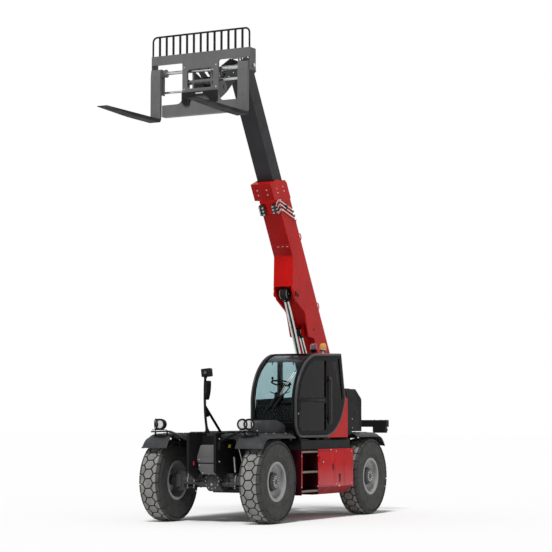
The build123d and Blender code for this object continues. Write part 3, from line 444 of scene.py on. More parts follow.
@dataclass(frozen=True)
class Mesh:
    """Black perforated sheet or grille with rows of round holes drawn in the colour."""

    name: str
    colour: Colour
    hole: Colour
    holes: float = 60.0

    def make(self) -> Material:
        """Builds the material."""
        g = Graph(self.name)
        cell = g.node("ShaderNodeTexVoronoi", Scale=self.holes, Randomness=0.0)
        g.link(g.place, cell.inputs["Vector"])
        hole = g.spread(cell.outputs["Distance"], 1.0, 0.0, 0.34, 0.4)
        colour = g.mix(g.spread(g.noise(5.0, 5), 0.0, 0.5), self.colour, dimmed(self.colour, 1.6))
        g.surface(g.mix(hole, colour, self.hole), g.spread(g.noise(9.0), 0.5, 0.7))
        g.bump((cell.outputs["Distance"], 0.5, 0.003))
        return g.material


RED = Paint("boom red enamel", (0.56, 0.007, 0.006), (0.66, 0.07, 0.05), 0.3, 0.02, 0.07)
# A darker copy of the boom red, laid on the boom's belly as painted shade.
BELLY_SHADE_RED = Paint("boom belly red painted shade", (0.36, 0.007, 0.007), (0.6, 0.12, 0.1), 0.34, 0.0, 0.08)
# The pale pink mixed in below a height of 1.0 m is a painted reflection of the white floor.
BOX_RED = Paint("side box red enamel", (0.57, 0.006, 0.009), (0.66, 0.1, 0.08), 0.32, 0.0, 0.05,
                (0.6, 0.26, 0.28), 1.0, 0.6, 0.42)
# A darker copy of the box red for the box's sloped underside: painted shade.
KEEL_SHADE_RED = Paint("underside red painted shade", (0.24, 0.006, 0.008), (0.4, 0.08, 0.07), 0.4, 0.0, 0.08)
# A near-black copy of the red paint for the step recess: painted shade.
STEP_SHADE_MAROON = Paint("step recess painted shade", (0.03, 0.003, 0.006), (0.16, 0.03, 0.03), 0.45, 0.0, 0.06)
BOOM_GREY = Paint("inner boom grey", (0.036, 0.036, 0.039), (0.12, 0.12, 0.12), 0.4, 0.0, 0.07)
FORK_GREY = Paint("carriage grey", (0.14, 0.14, 0.142), (0.27, 0.27, 0.27), 0.42, 0.0, 0.1)
# Mixes to near black below a height of 7.29 to 7.315 m.
FORK_STEEL = Paint("fork shank grey", (0.14, 0.14, 0.142), (0.27, 0.27, 0.27), 0.45, 0.0, 0.1,
                   (0.014, 0.014, 0.015), 7.315, 7.29, 0.97)
DARK_FORK = Paint("load guard black", (0.02, 0.02, 0.021), (0.2, 0.2, 0.2), 0.42, 0.0, 0.05)
CHASSIS = Paint("chassis dark grey", (0.014, 0.014, 0.015), (0.08, 0.08, 0.08), 0.42, 0.0, 0.05,
                (0.11, 0.1, 0.095), 1.0, 0.45, 0.35)
CAB = Paint("cab black", (0.0065, 0.006, 0.0068), (0.06, 0.06, 0.06), 0.24, 0.0, 0.035)
# On the cab's edge tubes this lighter grey is a painted highlight; it also greys the rail and linings.
TRIM_GREY_AND_HIGHLIGHT = Paint("cab trim grey and painted highlight", (0.05, 0.051, 0.055), (0.18, 0.18, 0.18), 0.3, 0.04, 0.15)
NOSE_GREY = Paint("nose cover grey", (0.125, 0.126, 0.128), (0.24, 0.24, 0.24), 0.45, 0.0, 0.1)
FENDER = Moulding("fender black plastic", (0.04, 0.041, 0.043), 0.46, 620.0, (0.13, 0.13, 0.133))
BLACK = Moulding("black plastic", (0.009, 0.009, 0.0095), 0.5, 700.0, (0.05, 0.05, 0.05))
TREAD_EDGE = Moulding("step edge beige", (0.23, 0.18, 0.15), 0.7, 300.0, (0.34, 0.28, 0.24))
RIM = Paint("rim silver grey", (0.36, 0.36, 0.36), (0.5, 0.5, 0.5), 0.34, 0.1)
TREAD = Rubber("tread rubber", (0.1, 0.099, 0.094), (0.25, 0.247, 0.232), 0.85)
WALL = Rubber("sidewall rubber", (0.02, 0.02, 0.0205), (0.085, 0.083, 0.078), 0.4)
CHROME = Metal("chrome plate", (0.56, 0.58, 0.57), 0.12, 1.0, 40.0, 0.0001)
ZINC = Metal("zinc fittings", (0.55, 0.55, 0.53), 0.36)
CAST = Metal("axle casting", (0.045, 0.045, 0.047), 0.6, 0.2, 140.0, 0.0015)
HUB = Metal("hub casting", (0.06, 0.06, 0.061), 0.5, 0.2, 120.0, 0.0012)
GLASS = Pane("cab glass", (0.55, 0.68, 0.7), (0.025, 0.019, 0.022), 1.15, 0.03, 1.13)
DOOR_GLASS = Pane("door glass", (0.022, 0.017, 0.02), None, 0.0, 0.05, 1.16)
CLEAR_LENS = Lens("clear lamp lens", (0.86, 0.87, 0.88), 0.35)
AMBER_LENS = Lens("amber lens", (0.9, 0.36, 0.02), 0.25)
RED_LENS = Lens("red lens", (0.5, 0.012, 0.012), 0.3)
SMOKED_LENS = Lens("smoked lens", (0.11, 0.03, 0.055), 0.2)
SEAT_CLOTH = Cloth("seat cloth", (0.022, 0.024, 0.028), (0.07, 0.075, 0.085))
GRILLE = Mesh("grille mesh", (0.016, 0.016, 0.017), (0.002, 0.002, 0.002))
YELLOW = Moulding("yellow marker", (0.75, 0.62, 0.03), 0.45)
MARK_RED = Moulding("red plastic cap", (0.5, 0.01, 0.03), 0.45)


class Dresser:
    """Makes each finish once and hands it out."""

    def __init__(self) -> None:
        """Starts with nothing made."""
        self.made: dict[str, Material] = {}

    def get(self, finish: object) -> Material:
        """The material of a finish.

        Args:
            finish: any of the finish classes above.

        Returns:
            The material, made on first use.
        """
        if finish.name not in self.made:
            self.made[finish.name] = finish.make()
        return self.made[finish.name]


DRESSER = Dresser()


# Building


def facing(direction: Point) -> Matrix:
    """A turn that takes +Z to a direction."""
    return Vector((0, 0, 1)).rotation_difference(Vector(direction)).to_matrix().to_4x4()


def put(name: str, data: bpy.types.ID) -> Object:
    """Adds an object with its data to the scene."""
    made = bpy.data.objects.new(name, data)
    bpy.context.collection.objects.link(made)
    return made


def pour(part: BMesh, target: BMesh) -> None:
    """Moves a finished shape into another mesh in work."""
    mesh = bpy.data.meshes.new("shape")
    part.to_mesh(mesh)
    part.free()
    target.from_mesh(mesh)
    bpy.data.meshes.remove(mesh)


def sharp_edges(part: BMesh, angle: float) -> list[bmesh.types.BMEdge]:
    """The edges whose faces meet at more than an angle in degrees."""
    return [e for e in part.edges if len(e.link_faces) == 2 and e.calc_face_angle(0) > radians(angle)]


def round_edges(part: BMesh, edges: Sequence[bmesh.types.BMEdge], width: float, segments: int) -> None:
    """Bevels some edges of a shape."""
    bmesh.ops.bevel(part, geom=edges, offset=width, offset_type="OFFSET", affect="EDGES",
                    segments=segments, profile=0.5, material=-1, clamp_overlap=True)


def spokes(axis: str, first: Point, count: int, phase: float = 0.0) -> list[Vector]:
    """Turned copies of an arm.

    Args:
        axis: the axis that they are turned about.
        first: the arm at angle 0.
        count: how many there are to a full turn.
        phase: where the first one stands, in steps.

    Returns:
        The arms.
    """
    return [Matrix.Rotation(2 * pi * (i + phase) / count, 3, axis) @ Vector(first) for i in range(count)]


MACHINE = Matrix.Translation((0, SHIFT_Y, 0))


class Maker:
    """A mesh in work, to which shapes are added one by one."""

    def __init__(self, place: Matrix = MACHINE) -> None:
        """Starts an empty mesh; place is applied to every shape."""
        self.mesh = bmesh.new()
        self.place = place

    def add(self, part: BMesh, slot: int = 0, closed: bool = True) -> None:
        """Adds a finished shape.

        Args:
            part: the shape, freed afterwards.
            slot: which of the piece's finishes it has.
            closed: whether its faces are turned outwards.
        """
        bmesh.ops.transform(part, matrix=self.place, verts=part.verts)
        if closed:
            bmesh.ops.recalc_face_normals(part, faces=part.faces)
        for face in part.faces:
            face.material_index = max(slot, face.material_index)
        pour(part, self.mesh)

    def sides(self) -> Iterator[int]:
        """Goes through both sides; what is added meanwhile is given as for the left one.

        Yields:
            1 for the left side, -1 for the right.
        """
        middle = self.place
        for side in SIDES.values():
            self.place = middle @ Matrix.Diagonal((side, 1, 1, 1))
            yield side
        self.place = middle

    @staticmethod
    def soften(part: BMesh, width: float, segments: int = 2, angle: float = 30.0) -> None:
        """Bevels the edges that are sharper than an angle.

        Args:
            part: the shape.
            width: the bevel's width, none if 0.
            segments: how many steps it has.
            angle: the least angle in degrees.
        """
        if width > 0:
            round_edges(part, sharp_edges(part, angle), width, segments)

    def box(self, low: Point, high: Point, bevel: float = 0.004, slot: int = 0,
            turn: Matrix | None = None) -> None:
        """Adds a block between two corners.

        Args:
            low: its lowest corner.
            high: its highest corner.
            bevel: the width of its softened edges.
            slot: its finish.
            turn: a turn about its own middle.
        """
        a, b = Vector(low), Vector(high)
        part = bmesh.new()
        bmesh.ops.create_cube(part, size=1.0)
        bmesh.ops.scale(part, vec=b - a, verts=part.verts)
        self.soften(part, min(bevel, 0.3 * min(b - a)))
        if turn:
            bmesh.ops.transform(part, matrix=turn, verts=part.verts)
        bmesh.ops.translate(part, vec=(a + b) / 2, verts=part.verts)
        self.add(part, slot)

    def plate(self, outline: Iterable[Point], axis: Axis, start: float, end: float,
              bevel: float = 0.003, slot: int = 0, segments: int = 2) -> None:
        """Adds a flat outline drawn out along an axis.

        Args:
            outline: its corners, as the other two coordinates in their order.
            axis: the axis it is drawn out along.
            start: where it starts on that axis.
            end: where it ends.
            bevel: the width of its softened edges.
            slot: its finish.
            segments: how many steps the bevel has.
        """
        put: dict[Axis, Callable[[Point], Point]] = {
            Axis.X: lambda p: (start, p[0], p[1]),
            Axis.Y: lambda p: (p[0], start, p[1]),
            Axis.Z: lambda p: (p[0], p[1], start),
        }
        part = bmesh.new()
        face = part.faces.new([part.verts.new(put[axis](p)) for p in outline])
        drawn = bmesh.ops.extrude_face_region(part, geom=[face])
        moved = [v for v in drawn["geom"] if isinstance(v, bmesh.types.BMVert)]
        step = {Axis.X: (end - start, 0, 0), Axis.Y: (0, end - start, 0), Axis.Z: (0, 0, end - start)}[axis]
        bmesh.ops.translate(part, vec=step, verts=moved)
        self.soften(part, bevel, segments)
        self.add(part, slot)

    def rod(self, start: Point, end: Point, radius: float, far: float | None = None,
            sides: int = 24, bevel: float = 0.0, slot: int = 0) -> None:
        """Adds a round or many-sided bar between two points.

        Args:
            start: the middle of one end.
            end: the middle of the other.
            radius: its radius at the start.
            far: its radius at the end, the same if left out.
            sides: how many sides it has.
            bevel: the width of its softened ends.
            slot: its finish.
        """
        a, b = Vector(start), Vector(end)
        part = bmesh.new()
        bmesh.ops.create_cone(part, cap_ends=True, segments=sides, radius1=radius,
                              radius2=radius if far is None else far, depth=(b - a).length)
        self.soften(part, bevel, 2, 50.0)
        bmesh.ops.transform(part, matrix=Matrix.Translation((a + b) / 2) @ facing(b - a), verts=part.verts)
        self.add(part, slot)

    def lathe(self, profile: Iterable[Point], centre: Point, direction: Point, steps: int = 48,
              slot: int = 0) -> None:
        """Adds a turned shape.

        Args:
            profile: points (along, radius) from one end of the axis to the other.
            centre: where along is 0.
            direction: the way along grows.
            steps: how many steps a full turn has.
            slot: its finish.
        """
        part = bmesh.new()
        line = [part.verts.new((r, 0, s)) for s, r in profile]
        edges = [part.edges.new(pair) for pair in zip(line, line[1:])]
        bmesh.ops.spin(part, geom=line + edges, cent=(0, 0, 0), axis=(0, 0, 1), angle=2 * pi,
                       steps=steps, use_merge=True, use_duplicate=False)
        bmesh.ops.remove_doubles(part, verts=part.verts, dist=1e-5)
        bmesh.ops.transform(part, matrix=Matrix.Translation(centre) @ facing(direction), verts=part.verts)
        self.add(part, slot)

    def pipe(self, points: Iterable[Point], radius: float, sides: int = 4, closed: bool = False,
             slot: int = 0, straight: bool = False) -> None:
        """Adds a round pipe along a smooth line.

        Args:
            points: the line's control points.
            radius: the pipe's radius.
            sides: half the number of its sides.
            closed: whether the line is a loop.
            slot: its finish.
            straight: whether the line keeps its corners.
        """
        curve = bpy.data.curves.new("pipe", "CURVE")
        curve.dimensions = "3D"
        curve.bevel_depth = radius
        curve.bevel_resolution = sides
        curve.use_fill_caps = not closed
        curve.resolution_u = 5
        spline = curve.splines.new("POLY" if straight else "NURBS")
        places = [Vector(p) for p in points]
        spline.points.add(len(places) - 1)
        for point, at in zip(spline.points, places):
            point.co = (*at, 1.0)
        if not straight:
            spline.order_u = 3
            spline.use_endpoint_u = not closed
        spline.use_cyclic_u = closed
        holder = bpy.data.objects.new("pipe", curve)
        mesh = bpy.data.meshes.new_from_object(holder)
        part = bmesh.new()
        part.from_mesh(mesh)
        bpy.data.objects.remove(holder)
        bpy.data.curves.remove(curve)
        bpy.data.meshes.remove(mesh)
        bmesh.ops.remove_doubles(part, verts=part.verts, dist=1e-5)
        self.add(part, slot)

    def bolt(self, place: Point, direction: Point, size: float = 0.012, slot: int = 0) -> None:
        """Adds a hexagon bolt head on its washer.

        Args:
            place: the middle of its foot.
            direction: the way it points.
            size: the head's radius.
            slot: its finish.
        """
        foot, way = Vector(place), Vector(direction).normalized()
        self.rod(foot - way * 0.002, foot + way * size * 0.25, size * 1.35, sides=14, slot=slot)
        self.rod(foot, foot + way * size * 0.95, size, sides=6, bevel=size * 0.14, slot=slot)

    def bolts(self, places: Iterable[Point], direction: Point, size: float, slot: int = 0) -> None:
        """Adds equal bolts at several places."""
        for place in places:
            self.bolt(place, direction, size, slot)

    def slats(self, low: Point, high: Point, step: Point, count: int, bevel: float = 0.003,
              slot: int = 1) -> None:
        """Adds a row of equal blocks.

        Args:
            low: the lowest corner of the first.
            high: its highest corner.
            step: the way from one to the next.
            count: how many there are.
            bevel: the width of their softened edges.
            slot: their finish.
        """
        for i in range(count):
            shift = Vector(step) * i
            self.box(Vector(low) + shift, Vector(high) + shift, bevel, slot)

    def finish(self, name: str, body: str, finishes: Sequence[object], slot: str, *nodes: str,
               smooth: float = 34.0) -> Object:
        """Makes the piece from what was added.

        Args:
            name: the piece's name.
            body: the body that it rides on.
            finishes: its finishes, in the order of the slots used above.
            slot: the record's material slot; not used.
            nodes: the CAD nodes that it stands for.
            smooth: the angle in degrees past which an edge stays sharp.

        Returns:
            The piece.
        """
        for face in self.mesh.faces:
            face.smooth = True
        for edge in self.mesh.edges:
            edge.smooth = len(edge.link_faces) == 2 and edge.calc_face_angle(0) < radians(smooth)
        mesh = bpy.data.meshes.new(name)
        self.mesh.to_mesh(mesh)
        self.mesh.free()
        for finish in finishes:
            mesh.materials.append(DRESSER.get(finish))
        piece = put(name, mesh)
        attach(piece, body)
        if nodes:
            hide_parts(*nodes)
        log.info("%s on %s: %d faces", name, body, len(mesh.polygons))
        return piece


def arc(start: Point, middle: Point, end: Point, steps: int) -> list[tuple[float, float]]:
    """Points on the circle through three flat points.

    Args:
        start: the first point.
        middle: a point between.
        end: the last point.
        steps: how many parts it is divided into.

    Returns:
        The points, both ends among them.
    """
    a, b, c = (Vector((*p, 0)) for p in (start, middle, end))
    u, v = b - a, c - a
    n = u.cross(v)
    centre = a + (n.cross(u) * v.length_squared + v.cross(n) * u.length_squared) / (2 * n.length_squared)
    first = a - centre
    full = first.to_2d().angle_signed((c - centre).to_2d())
    half = first.to_2d().angle_signed((b - centre).to_2d())
    if full * half < 0:
        full -= 2 * pi * (1 if full > 0 else -1)
    turned = [centre + Matrix.Rotation(-full * i / steps, 3, "Z") @ first for i in range(steps + 1)]
    return [(p.x, p.y) for p in turned]


# Studio


@dataclass
class Studio:
    """Camera, daylight and pale floor."""

    place: Point = (16.6426, -30.632, 1.828)
    pitch: float = 94.4552
    turn: float = 27.8245
    lens: float = 121.02
    sun_strength: float = 2.7
    sun_angle: float = 16.0
    sun_way: Point = (0.15, -0.6, 0.8)
    sky: float = 0.32
    floor_size: float = 400.0
    floor_white: float = 0.97
    floor_glow: float = 0.02

    def camera(self) -> None:
        """The photograph's viewpoint."""
        data = bpy.data.cameras.new("viewpoint")
        data.lens = self.lens
        data.sensor_width = 36.0
        data.clip_end = 600.0
        camera = put("viewpoint", data)
        camera.location = self.place
        camera.rotation_euler = (radians(self.pitch), 0.0, radians(self.turn))
        bpy.context.scene.camera = camera

    def light(self) -> None:
        """A soft sun and an even sky, which looks white wherever it is seen."""
        data = bpy.data.lights.new("sun", "SUN")
        data.energy = self.sun_strength
        data.angle = radians(self.sun_angle)
        put("sun", data).rotation_euler = facing(self.sun_way).to_euler()
        world = bpy.data.worlds.new("sky")
        world.use_nodes = True
        tree = world.node_tree
        tree.nodes.clear()
        out = tree.nodes.new("ShaderNodeOutputWorld")
        tree.links.new(self.pick(tree, "ShaderNodeBackground", self.sky, 1.0), out.inputs[0])
        bpy.context.scene.world = world

    def pick(self, tree: bpy.types.NodeTree, kind: str, plain: float, seen: float) -> Socket:
        """A white light with one strength for the machine and one where it is looked at.

        Args:
            tree: the node tree in work.
            kind: the light's node type.
            plain: its strength for the rays that light the machine.
            seen: its strength for the rays that show the backdrop.

        Returns:
            The mixed shader.
        """
        mix = tree.nodes.new("ShaderNodeMixShader")
        tree.links.new(self.seen(tree), mix.inputs[0])
        for socket, strength in zip(mix.inputs[1:], (plain, seen)):
            glow = tree.nodes.new(kind)
            glow.inputs["Color"].default_value = (1, 1, 1, 1)
            glow.inputs["Strength"].default_value = strength
            tree.links.new(glow.outputs[0], socket)
        return mix.outputs[0]

    @staticmethod
    def seen(tree: bpy.types.NodeTree) -> Socket:
        """1 for rays that show the backdrop: from the camera, in gloss or through glass."""
        path = tree.nodes.new("ShaderNodeLightPath")
        last = path.outputs["Is Camera Ray"]
        for name in ("Is Glossy Ray", "Is Transmission Ray"):
            most = tree.nodes.new("ShaderNodeMath")
            most.operation = "MAXIMUM"
            tree.links.new(last, most.inputs[0])
            tree.links.new(path.outputs[name], most.inputs[1])
            last = most.outputs[0]
        return last

    def floor(self) -> None:
        """A wide white floor that keeps the machine's shadow."""
        mesh = bmesh.new()
        bmesh.ops.create_grid(mesh, x_segments=2, y_segments=2, size=self.floor_size / 2)
        data = bpy.data.meshes.new("floor")
        mesh.to_mesh(data)
        mesh.free()
        material = bpy.data.materials.new("white floor")
        material.use_nodes = True
        tree = material.node_tree
        tree.nodes.clear()
        diffuse = tree.nodes.new("ShaderNodeBsdfDiffuse")
        diffuse.inputs["Color"].default_value = (*[self.floor_white] * 3, 1)
        both = tree.nodes.new("ShaderNodeAddShader")
        out = tree.nodes.new("ShaderNodeOutputMaterial")
        tree.links.new(diffuse.outputs[0], both.inputs[0])
        tree.links.new(self.pick(tree, "ShaderNodeEmission", 0.0, self.floor_glow), both.inputs[1])
        tree.links.new(both.outputs[0], out.inputs[0])
        data.materials.append(material)
        put("floor", data)

    def build(self) -> None:
        """Sets up the whole studio."""
        self.camera()
        self.light()
        self.floor()
        bpy.context.scene.view_settings.view_transform = "Standard"
        log.info("studio ready")


# Wheels


@dataclass
class BlockTyre:
    """A wide tyre with big six-sided blocks down the middle and blocks over each shoulder."""

    radius: float = 0.745
    depth: float = 0.026
    pitches: int = 27
    groove: float = 0.0085
    narrow: float = 0.058
    wide: float = 0.104
    skew: float = 0.1
    flat_half: float = 0.15
    crown_drop: float = 0.006
    shoulder: float = 0.058
    reach: float = 0.226
    bead: float = 0.3395
    flare: float = 0.03
    edge: float = 0.004
    cuts: Point = (0.172, 0.192, 0.212)

    def wrap(self, across: float, along: float, down: float) -> Vector:
        """Takes a flat tread place to the tyre's surface, about the X axis.

        Args:
            across: distance from the middle line over the surface.
            along: distance round the tyre.
            down: depth below the surface.

        Returns:
            The place.
        """
        side = -1 if across < 0 else 1
        far = abs(across)
        bend = max(0.0, far - self.flat_half) / self.shoulder
        inner = min(far, self.flat_half)
        x = inner + self.shoulder * sin(bend) - down * sin(bend)
        r = self.radius - self.crown_drop * (inner / self.flat_half) ** 2
        r += -self.shoulder * (1 - cos(bend)) - down * cos(bend)
        angle = along / self.radius
        return Vector((side * x, r * sin(angle), r * cos(angle)))

    def block(self, tread: BMesh, outline: Sequence[Point]) -> None:
        """Adds one block to the tread.

        Args:
            tread: the tread in work.
            outline: its corners as (across, along).
        """
        part = bmesh.new()
        middle = Vector((sum(p[0] for p in outline), sum(p[1] for p in outline), 0)) / len(outline)
        face = part.faces.new([part.verts.new((*p, 0)) for p in outline])
        grown = bmesh.ops.extrude_face_region(part, geom=[face])
        foot = [v for v in grown["geom"] if isinstance(v, bmesh.types.BMVert)]
        bmesh.ops.translate(part, vec=(0, 0, -self.depth), verts=foot)
        for vertex in foot:
            vertex.co.xy += (vertex.co.xy - middle.xy) * self.flare
        round_edges(part, [e for e in part.edges if all(v.co.z > -0.001 for v in e.verts)], self.edge, 1)
        for cut in (self.flat_half, *self.cuts):
            for way in (-1, 1):
                bmesh.ops.bisect_plane(part, geom=part.verts[:] + part.edges[:] + part.faces[:],
                                       plane_co=(way * cut, 0, 0), plane_no=(1, 0, 0))
        for face in part.faces:
            top = all(v.co.z > -0.0005 for v in face.verts)
            inside = all(abs(v.co.x) < self.flat_half + 0.02 for v in face.verts)
            face.material_index = 0 if top and inside else 1
        for vertex in part.verts:
            vertex.co = self.wrap(vertex.co.x, vertex.co.y, -vertex.co.z)
        bmesh.ops.recalc_face_normals(part, faces=part.faces)
        pour(part, tread)

    def tread(self) -> BMesh:
        """All blocks, one pitch repeated round the tyre."""
        made = bmesh.new()
        pitch = 2 * pi * self.radius / self.pitches
        g, n, w = self.groove, self.narrow, self.wide
        centre = [(w - g, 0), (n - g, pitch / 2 - g), (-n + g, pitch / 2 - g),
                  (-w + g, 0), (-n + g, -pitch / 2 + g), (n - g, -pitch / 2 + g)]
        outer = [(w + g * 0.6, g), (self.reach, g * 0.9), (self.reach, pitch - g * 0.9),
                 (w + g * 0.6, pitch - g), (n + g, pitch / 2)]
        for outline, way in ((centre, 1), (outer, 1), (outer, -1)):
            self.block(made, [(way * x, way * (s + self.skew * x)) for x, s in outline])
        step = 2 * pi / self.pitches
        bmesh.ops.spin(made, geom=made.verts[:] + made.edges[:] + made.faces[:], cent=(0, 0, 0),
                       axis=(1, 0, 0), angle=2 * pi - step, steps=self.pitches - 1,
                       use_merge=False, use_duplicate=True)
        return made

    def carcass_profile(self) -> list[tuple[float, float]]:
        """The tyre's section from bead to bead."""
        base = self.radius - self.depth
        half = [(0.0, base + 0.001), (0.1, base - 0.002), (0.15, base - 0.006), (0.172, base - 0.018),
                (0.186, base - 0.04), (0.196, base - 0.066), (0.204, 0.632), (0.206, 0.626),
                (0.211, 0.622), (0.2118, 0.612), (0.21, 0.606), (0.2125, 0.56), (0.2132, 0.52),
                (0.2125, 0.48), (0.21, 0.448), (0.2125, 0.444), (0.2115, 0.436), (0.2075, 0.434),
                (0.2, 0.408), (0.199, 0.398), (0.19, 0.38), (0.176, 0.366), (0.16, 0.356),
                (0.1588, self.bead)]
        return [(-x, r) for x, r in reversed(half[1:])] + half

    def build(self, end: str, side: str, shared: bpy.types.Mesh) -> None:
        """Puts one tyre on its wheel.

        Args:
            end: front or rear.
            side: left or right.
            shared: the blocks' mesh about the X axis.
        """
        centre = Vector((SIDES[side] * WHEEL_X, AXLES[end], WHEEL_Z))
        maker = Maker(Matrix.Identity(4))
        part = bmesh.new()
        part.from_mesh(shared)
        bmesh.ops.translate(part, vec=centre, verts=part.verts)
        maker.add(part, 0, closed=False)
        maker.lathe([*self.carcass_profile(), (-0.1588, self.bead)], centre, (1, 0, 0), 72, 1)
        maker.finish(f"tyre_blocks_{end}_{side}", f"{end}_{side}_wheel", (TREAD, WALL), "tyre_rubber",
                     f"tyre_{end}_{side}", smooth=40)


@dataclass
class WheelHub:
    """Planetary hub cover, wheel nuts and rim ring of one wheel."""

    disc: float = 0.07
    cover: float = 0.1535
    nose: float = 0.1655
    nuts: int = 20
    nut_circle: float = 0.212

    def build(self, end: str, side: str) -> None:
        """Puts the cover and nuts on one rim.

        Args:
            end: front or rear.
            side: left or right.
        """
        way = SIDES[side]
        centre = Vector((way * WHEEL_X, AXLES[end], WHEEL_Z))
        out = Vector((way, 0, 0))
        d, c, n = self.disc, self.cover, self.nose
        maker = Maker(Matrix.Identity(4))
        maker.lathe([(d - 0.002, 0.0), (d - 0.002, 0.172), (d + 0.014, 0.172), (d + 0.018, 0.168),
                     (d + 0.02, c + 0.006), (d + 0.03, c + 0.002), (0.128, c + 0.002), (0.136, c - 0.002),
                     (n - 0.006, 0.124), (n, 0.119), (n, 0.074), (n - 0.004, 0.071), (n - 0.004, 0.05),
                     (n + 0.004, 0.047), (n + 0.005, 0.0)], centre, out, 64)
        nuts = [centre + arm + out * (d - 0.001) for arm in spokes("X", (0, 0, self.nut_circle), self.nuts)]
        maker.bolts(nuts, out, 0.0165, 1)
        for arm in spokes("X", (0, 0, 1), 12, 0.5):
            maker.bolt(centre + arm * 0.096 + out * n, out, 0.009, 1)
            rib = centre + arm * (c + 0.001)
            maker.rod(rib + out * 0.092, rib + out * 0.13, 0.006, 0.004, 8)
        valve = centre + Matrix.Rotation(radians(200), 3, "X") @ Vector((0, 0, 0.285)) + out * 0.09
        maker.rod(valve, valve + out * 0.06, 0.006, 0.005, 10, 0.001, 1)
        maker.finish(f"hub_cover_{end}_{side}", f"{end}_{side}_wheel", (HUB, ZINC), "cast")


class Wheels:
    """The four tyres with their hubs."""

    def build(self) -> None:
        """Builds the blocks once and dresses every wheel."""
        pattern = BlockTyre()
        blocks = pattern.tread()
        shared = bpy.data.meshes.new("blocks")
        blocks.to_mesh(shared)
        blocks.free()
        for end in AXLES:
            for side in SIDES:
                pattern.build(end, side, shared)
                WheelHub().build(end, side)
        bpy.data.meshes.remove(shared)


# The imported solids


@dataclass
class PackedParts:
    """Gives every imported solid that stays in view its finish."""

    nodes: dict[str, Object]

    def finishes(self) -> dict[str, object]:
        """The finish of each node by name."""
        groups = (
            (CHASSIS, "chassis_frame cab_mounts rear_housing engine_bay rear_light_beam"),
            (FENDER, "front_deck front_fenders rear_fenders engine_hood"),
            (CAST, "front_axle rear_axle engine_block"),
            (BLACK, "steering_console headlamps mirror_mast"),
            (RED, "side_panel outer_boom"),
            (BOX_RED, "side_box side_box_door"),
            (CAB, "cab_frame cab_door"),
            (GLASS, "cab_glass"),
            (DOOR_GLASS, "door_glass"),
            (SEAT_CLOTH, "operator_seat"),
            (STEP_SHADE_MAROON, "access_steps"),
            (AMBER_LENS, "beacons"),
            (BOOM_GREY, "inner_boom"),
            (FORK_GREY, "carriage_frame"),
            (DARK_FORK, "load_guard"),
            (CHROME, "fork_shaft"),
        )
        table: dict[str, object] = {name: finish for finish, names in groups for name in names.split()}
        for side in SIDES:
            table[f"fork_{side}"] = FORK_STEEL
            table[f"positioner_rod_{side}"] = CHROME
            for end in AXLES:
                table[f"tyre_{end}_{side}"] = WALL
                table[f"wheel_rim_{end}_{side}"] = RIM
                table[f"knuckle_{end}_{side}"] = CAST
        for name in ("lift", "compensation", "tilt"):
            table[f"{name}_barrel"] = FENDER
            table[f"{name}_rod"] = CHROME
        return table

    def build(self) -> None:
        """Dresses them all."""
        table = self.finishes()
        for name, node in self.nodes.items():
            material = DRESSER.get(table[name])
            if not node.material_slots:
                node.data.materials.append(material)
            for slot in node.material_slots:
                slot.material = material
        log.info("%d packed solids dressed", len(self.nodes))


# Cab


